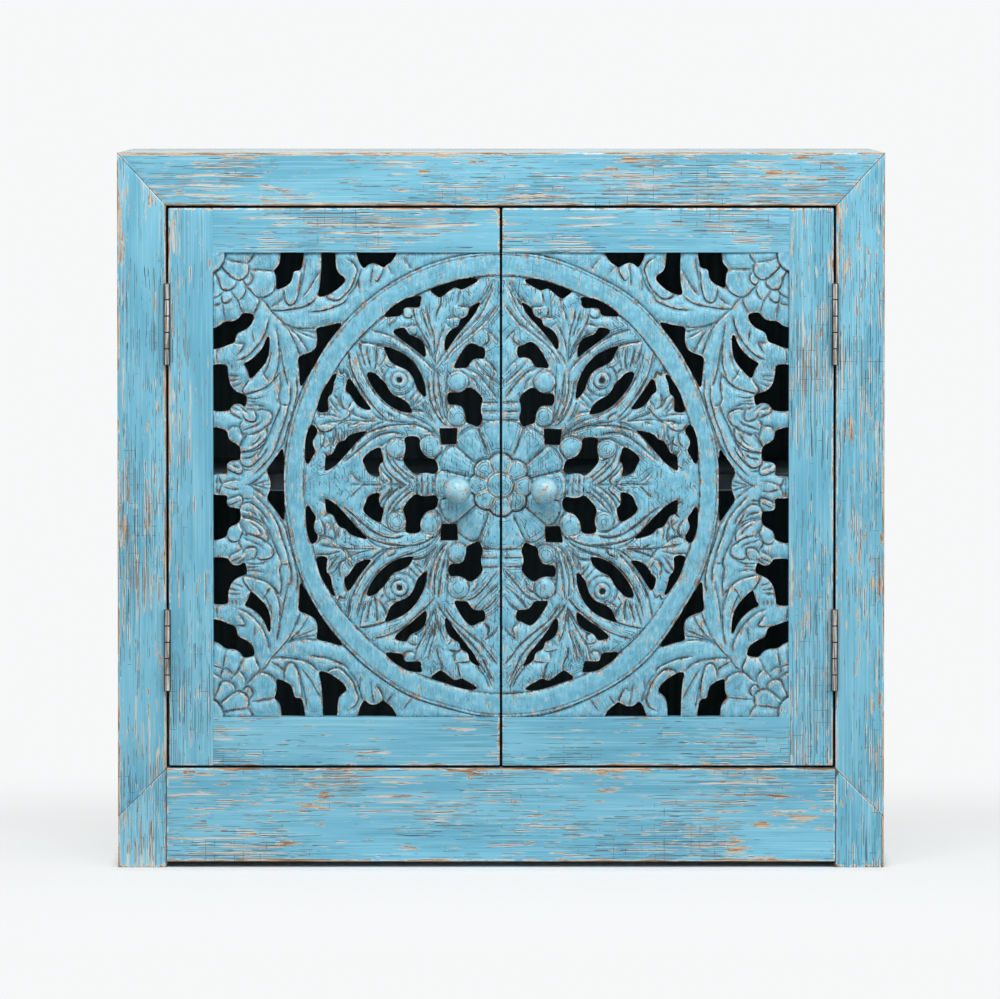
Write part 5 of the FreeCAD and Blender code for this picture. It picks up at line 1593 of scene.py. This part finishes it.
# painted shade round the knob's ball, from near its widest part towards the neck
NECK_PAINTED_SHADE = (0.78, 1.12)
NECK_PAINTED_SHADE_SHARE = 0.80
KNOB_RAGS = {"scale": 330, "detail": 5.0}
KNOB_SWELL = {"scale": 48, "detail": 2.0}
KNOB_RAGGING = 0.06
LOOP_LEVEL = 0.50
WORN_LOOP = (0.024, 0.014)
LOOP_BREAKS = (0.44, 0.52)
KNOB_SPECKS = {"scale": 420, "detail": 4.0, "levels": (0.66, 0.70)}
SPECK_SHARE = 0.8
KNOB_GRAIN = (1, 1, 1)
KNOB_ROUGHNESS = (0.36, 0.70)
LOOP_RISE = -0.6
KNOB_STRENGTH = 0.25
KNOB_RELIEF = 0.3 * MM


def turned_paint(name):
    """Paint on the knobs: pale where hands rub it, with painted shade round the ball towards the neck, thin
    worn loops and dark specks."""
    finish, tree, shader = new_finish(name)
    x, _, z = axes_of(on_object(tree))
    place = flat_place(x, z)
    paint = blended(mottle(place, **KNOB_TONE), KNOB_DEEP, KNOB_LIGHT)
    # painted shade: a dark ring round the ball from near its widest part towards the neck
    painted_neck_shade = between(mark(tree, "from_tip"), *NECK_PAINTED_SHADE)
    paint = blended(times(painted_neck_shade, NECK_PAINTED_SHADE_SHARE), paint, PAINT_SHADE)
    ragged = mottle(place, **KNOB_RAGS)
    swell = added(mottle(place, **KNOB_SWELL), times(ragged, KNOB_RAGGING))
    off_loop = unsigned(less(swell, LOOP_LEVEL))
    worn = times(between(off_loop, *WORN_LOOP), between(ragged, *LOOP_BREAKS))
    specks = mottle(place, **KNOB_SPECKS)
    colour = blended(worn, paint, bare_wood_colour(place, KNOB_GRAIN))
    coloured(shader, blended(times(specks, SPECK_SHARE), colour, CRACK_BROWN))
    roughened(shader, worn, *KNOB_ROUGHNESS)
    raised(shader, added(ragged, times(worn, LOOP_RISE)), KNOB_STRENGTH, KNOB_RELIEF)
    return finish


PLAIN_GRAIN = {"detail": 5.0, "roughness": 0.6, "dimensions": "3D"}
PLAIN_TONES = (0.3, 0.7)
PLAIN_STRENGTH = 0.25
TARNISH = {"detail": 6.0, "roughness": 0.65, "dimensions": "3D"}
TARNISH_TONES = (0.35, 0.65)
TARNISH_STRENGTH = 0.2
PIT_RELIEF = 0.2 * MM
METAL_ROUGHNESS_SPREAD = (-0.12, 0.18)


def grained(name, tones, stretch, scale, roughness):
    """Plain wood or board in two tones, streaked along its grain."""
    finish, tree, shader = new_finish(name)
    field = mottle(on_object(tree), scale, stretch, **PLAIN_GRAIN)
    coloured(shader, blended(between(field, *PLAIN_TONES), *tones))
    joined(shader.inputs["Roughness"], roughness)
    raised(shader, field, PLAIN_STRENGTH, GRAIN_RELIEF)
    return finish


def worn_metal(name, tones, scale, roughness):
    """Metal with a mottled tarnish and fine pits."""
    finish, tree, shader = new_finish(name)
    field = mottle(on_object(tree), scale, **TARNISH)
    coloured(shader, blended(between(field, *TARNISH_TONES), *tones))
    joined(shader.inputs["Metallic"], 1.0)
    roughened(shader, field, *[roughness + spread_end for spread_end in METAL_ROUGHNESS_SPREAD])
    raised(shader, field, TARNISH_STRENGTH, PIT_RELIEF)
    return finish


KNUCKLES = 5
KNUCKLE_PARTING = (0.445, 0.475)
BARREL_STEP = 0.5 * MM
# where the painted shade down the barrel's two sides falls, and how much
BARREL_SIDE_SHADE = (1.9 * MM, 2.9 * MM)
BARREL_SIDE_SHADE_SHARE = 0.85
BARREL_LINES = {"scale": 900, "stretch": (1, 1, 0.03), "roughness": 0.6, "dimensions": "3D",
                "levels": (0.38, 0.62)}
RUST = {"scale": 110, "stretch": (1, 1, 0.6), "detail": 5.0, "roughness": 0.65, "dimensions": "3D"}
RUSTED = (0.54, 0.66)
RUST_SHARE = 0.6
HINGE_METALLIC = 0.85
HINGE_ROUGHNESS = (0.32, 0.62)
HINGE_STRENGTH = 0.6


def hinge_metal(name, pin, leaf):
    """Tarnished hinge metal: fine lines down the barrel, and painted shade at the barrel's two sides and
    between its knuckles, where the partings are also pressed in as relief."""
    finish, tree, shader = new_finish(name)
    place = on_object(tree)
    x, y, z = axes_of(place)
    pin_low, pin_high = corners_of(pin)
    leaf_low, leaf_high = corners_of(leaf)
    barrel_middle = float(abs(pin_low[X_AXIS] + pin_high[X_AXIS]) / 2)
    knuckle = float(leaf_high[Z_AXIS] - leaf_low[Z_AXIS]) / KNUCKLES
    up = times(less(z, float(leaf_low[Z_AXIS])), 1 / knuckle)
    from_middle = unsigned(less(reckoned("FRACT", up), 0.5))
    on_barrel = between(y, float(face_y), float(face_y) - BARREL_STEP)
    parting_dent_and_shade = times(between(from_middle, *KNUCKLE_PARTING), on_barrel)
    off_axis = less(unsigned(x), barrel_middle)
    # painted shade down the barrel's two sides and in the partings between the knuckles
    barrel_side_shade = between(unsigned(off_axis), *BARREL_SIDE_SHADE)
    rust = mottle(place, **RUST)
    metal = blended(mottle(place, **BARREL_LINES), HINGE_DARK, HINGE_LIGHT)
    metal = blended(times(between(rust, *RUSTED), RUST_SHARE), metal, HINGE_BROWN)
    coloured(shader, blended(most(times(barrel_side_shade, BARREL_SIDE_SHADE_SHARE), parting_dent_and_shade), metal, HINGE_SHADE))
    joined(shader.inputs["Metallic"], HINGE_METALLIC)
    roughened(shader, rust, *HINGE_ROUGHNESS)
    raised(shader, times(parting_dent_and_shade, -1.0), HINGE_STRENGTH, GRAIN_RELIEF)
    return finish


board_paint = worn_paint("worn_paint_boards")
# the top board's paint is paler as a painted highlight
top_highlight_paint = worn_paint("highlighted_paint_top", TOP_HIGHLIGHT_LIGHT, TOP_HIGHLIGHT_DEEP)
carving_paint = carved_paint("worn_paint_carving")
knob_paint = turned_paint("rubbed_paint_knobs")
inside_stain = grained("dark_stain_inside", INSIDE, stretch=(0.08, 1, 0.3), scale=120, roughness=0.7)
back_stain = grained("slate_stain_back", SLATE, stretch=(1, 1, 0.06), scale=90, roughness=0.65)
shelf_stain = grained("teal_stain_shelf", TEAL, stretch=(0.06, 1, 1), scale=90, roughness=0.65)
pale_wood = grained("bare_wood_cleats", CLEAT_WOOD, stretch=(1, 0.06, 1), scale=140, roughness=0.75)
upper_hinge = hinge_metal("tarnished_upper_hinges", "right_upper_hinge_pin", "right_upper_frame_leaf")
lower_hinge = hinge_metal("tarnished_lower_hinges", "right_lower_hinge_pin", "right_lower_frame_leaf")
bright_steel = worn_metal("dull_screw_steel", STEEL, scale=300, roughness=0.38)
brown_plastic = grained("brown_catch_plastic", PLASTIC, stretch=(1, 1, 1), scale=600, roughness=0.45)


# Pieces

STRIKE_SHOW = 0.2 * MM
RAIL_WEAR = 0.025
DOOR_FORM = {"joint_line": False, "wear": -0.065}
SIDE_SEED_STEP = 10
CASE_SEED = 30

stile_low, stile_high = corners_of("right_face_stile")
rail_low, rail_high = corners_of("face_top_rail")
frame_inner, frame_outer = stile_low[X_AXIS], stile_high[X_AXIS]
rail_bottom, frame_top = rail_low[Z_AXIS], rail_high[Z_AXIS]
scarf_foot = stile_low[Z_AXIS]
apron_top = corners_of("apron_rail")[1][Z_AXIS]
painted = [board_paint, inside_stain]

for number, (side_name, side) in enumerate(SIDES):
    seed = SIDE_SEED_STEP * (number + 1)
    scarf = (scarf_foot, apron_top)[::-side]
    mitre = (frame_top, rail_bottom)[::-side]
    inner_edges = LOW_ACROSS if side > 0 else HIGH_ACROSS
    add_board(f"{side_name}_face_stile", "case", Z_AXIS, painted, seed + 1, scarf, mitre, "+through",
              joint_ends=(True, True))
    add_board(f"{side_name}_front_foot", "case", Z_AXIS, painted, seed + 2, None, scarf, "+through",
              joint_ends=(False, True), quiet_edges=inner_edges, quiet_spans=((0, apron_top),))
    add_board(f"{side_name}_side_panel", "case", Z_AXIS, painted, seed + 3,
              inside="-across" if side > 0 else "+across", joint_ends=(False, True))
    door = f"{side_name}_door"
    rail_ends = sorted((side * door_meeting, side * stile_inner))
    rail_form = {"across": rail_ends, "joint_ends": (side < 0, side > 0), "quiet_spans": (rail_ends,)}
    add_board(f"{door}_stile", door, Z_AXIS, [board_paint], seed + 4, quiet_edges=inner_edges,
              quiet_spans=((0, frame_top),), **DOOR_FORM)
    add_board(f"{door}_top_rail", door, X_AXIS, [board_paint], seed + 5, back_inset=STRIKE_SHOW,
              quiet_edges=LOW_THROUGH, **rail_form, **DOOR_FORM)
    add_board(f"{door}_bottom_rail", door, X_AXIS, [board_paint], seed + 6, quiet_edges=HIGH_THROUGH,
              **rail_form, **DOOR_FORM)
    add_carving(side_name, side, carving_paint)
    add_piece(f"{side_name}_turned_knob", knob_shell(f"{side_name}_knob"), door, f"{side_name}_knob",
              [knob_paint])

add_board("face_top_rail", "case", X_AXIS, painted, CASE_SEED + 1, (-frame_inner, -frame_outer),
          (frame_inner, frame_outer), "+across", slope_way=1, joint_ends=(True, True), wear=RAIL_WEAR)
add_board("apron_rail", "case", X_AXIS, painted, CASE_SEED + 2, inside="+across", joint_ends=(True, True),
          wear=RAIL_WEAR)
# the top board in the paler paint, a painted highlight
add_board("top_board", "case", X_AXIS, [top_highlight_paint, inside_stain], CASE_SEED + 3, inside="-through")
add_board("middle_shelf", "case", X_AXIS, [shelf_stain, inside_stain], CASE_SEED + 4, inside="-across",
          slot="inside_wood")

KEPT_FINISHES = (
    ("_upper_", upper_hinge), ("_lower_", lower_hinge), ("screw", bright_steel), ("strike", bright_steel),
    ("catch", brown_plastic), ("cleat", pale_wood), ("dowels", pale_wood),
    ("back_panel", back_stain), ("bottom_board", inside_stain), ("door_stop", inside_stain),
)
for node_name, node_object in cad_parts.items():
    for words, finish in KEPT_FINISHES:
        if words in node_name and not node_object.hide_render:
            node_object.data.materials.clear()
            node_object.data.materials.append(finish)
            break


# Floor, light and camera

FLOOR_HALF = 6.0
# distances from the cabinet between which a share of the floor fades into the backdrop, and the share
FLOOR_FADES = ((-0.01, 0.014, 0.75), (0.05, 0.90, 0.25))
FLOOR_COLOUR = (0.92, 0.925, 0.930)
FLOOR_ROUGHNESS = 0.9
BACKDROP = (0.925, 0.940, 0.945)
AMBIENT_COLOUR = (1.0, 1.0, 1.0)
AMBIENT = 0.34
LAMPS = (
    ("key_lamp", (-0.25, -1.9, 2.7), 1.2, 55),
    ("fill_lamp", (2.4, -3.0, 2.0), 2.0, 48),
)
CAMERA_DISTANCE = 9.6
CAMERA_HEIGHT = 0.958
CAMERA_PITCH = np.radians(2.4)
CAMERA_SIGHT = 100
PICTURE_WIDTH = 1.1718
PICTURE_MIDDLE = 0.4334
PICTURE_ASIDE = -0.001
SENSOR = 36.0


def mixed(output, share, first, second):
    """Joins two shaders to an output, with the second by its share."""
    mix = wired(share.id_data, "ShaderNodeMixShader", Fac=share)
    joined(mix.inputs[1], first.outputs[0])
    joined(mix.inputs[2], second.outputs[0])
    joined(output.inputs["Surface"], mix.outputs[0])


floor_corners = FLOOR_HALF * np.array([(-1, -1, 0), (1, -1, 0), (1, 1, 0), (-1, 1, 0)])
floor_mesh = mesh_of("pale_floor", floor_corners, [np.arange(4)[None]])
floor = bpy.data.objects.new("pale_floor", floor_mesh)
bpy.context.scene.collection.objects.link(floor)
floor_finish, floor_tree, floor_shader = new_finish("pale_floor")
coloured(floor_shader, FLOOR_COLOUR)
joined(floor_shader.inputs["Roughness"], FLOOR_ROUGHNESS)
floor_x, floor_y, _ = axes_of(on_object(floor_tree))
from_cabinet = most(less(unsigned(floor_x), float(cad_high[X_AXIS])),
                    less(unsigned(floor_y), float(cad_high[Y_AXIS])))
fades = [times(between(from_cabinet, start, end), share) for start, end, share in FLOOR_FADES]
clear = floor_tree.nodes.new("ShaderNodeBsdfTransparent")
mixed(floor_tree.nodes["Material Output"], added(*fades), floor_shader, clear)
floor_mesh.materials.append(floor_finish)

world = bpy.data.worlds.new("studio")
bpy.context.scene.world = world
world.use_nodes = True
sky = world.node_tree
ambient = sky.nodes["Background"]
joined(ambient.inputs["Color"], AMBIENT_COLOUR)
joined(ambient.inputs["Strength"], AMBIENT)
white = wired(sky, "ShaderNodeBackground", Color=BACKDROP, Strength=1.0)
rays = sky.nodes.new("ShaderNodeLightPath").outputs
seen = most(rays["Is Camera Ray"], rays["Is Glossy Ray"], rays["Is Transmission Ray"])
mixed(sky.nodes["World Output"], seen, ambient, white)

for lamp_name, place, size, power in LAMPS:
    lamp = bpy.data.lights.new(lamp_name, "AREA")
    lamp.size = size
    lamp.energy = power
    lamp_object = bpy.data.objects.new(lamp_name, lamp)
    lamp_object.location = place
    towards = Vector((0, face_y, PICTURE_MIDDLE)) - Vector(place)
    lamp_object.rotation_euler = towards.to_track_quat("-Z", "Y").to_euler()
    bpy.context.scene.collection.objects.link(lamp_object)

camera = bpy.data.cameras.new("picture_camera")
camera.sensor_width = SENSOR
camera.lens = SENSOR * CAMERA_DISTANCE / PICTURE_WIDTH
looked_at = CAMERA_HEIGHT - CAMERA_DISTANCE * np.tan(CAMERA_PITCH)
camera.shift_x = PICTURE_ASIDE
camera.shift_y = (PICTURE_MIDDLE - looked_at) / PICTURE_WIDTH
camera.clip_end = CAMERA_SIGHT
camera_object = bpy.data.objects.new("picture_camera", camera)
camera_object.location = (0, face_y - CAMERA_DISTANCE, CAMERA_HEIGHT)
camera_object.rotation_euler = (np.pi / 2 - CAMERA_PITCH, 0, 0)
bpy.context.scene.collection.objects.link(camera_object)
bpy.context.scene.camera = camera_object
bpy.context.scene.view_settings.view_transform = "Standard"

bpy.context.view_layer.update()
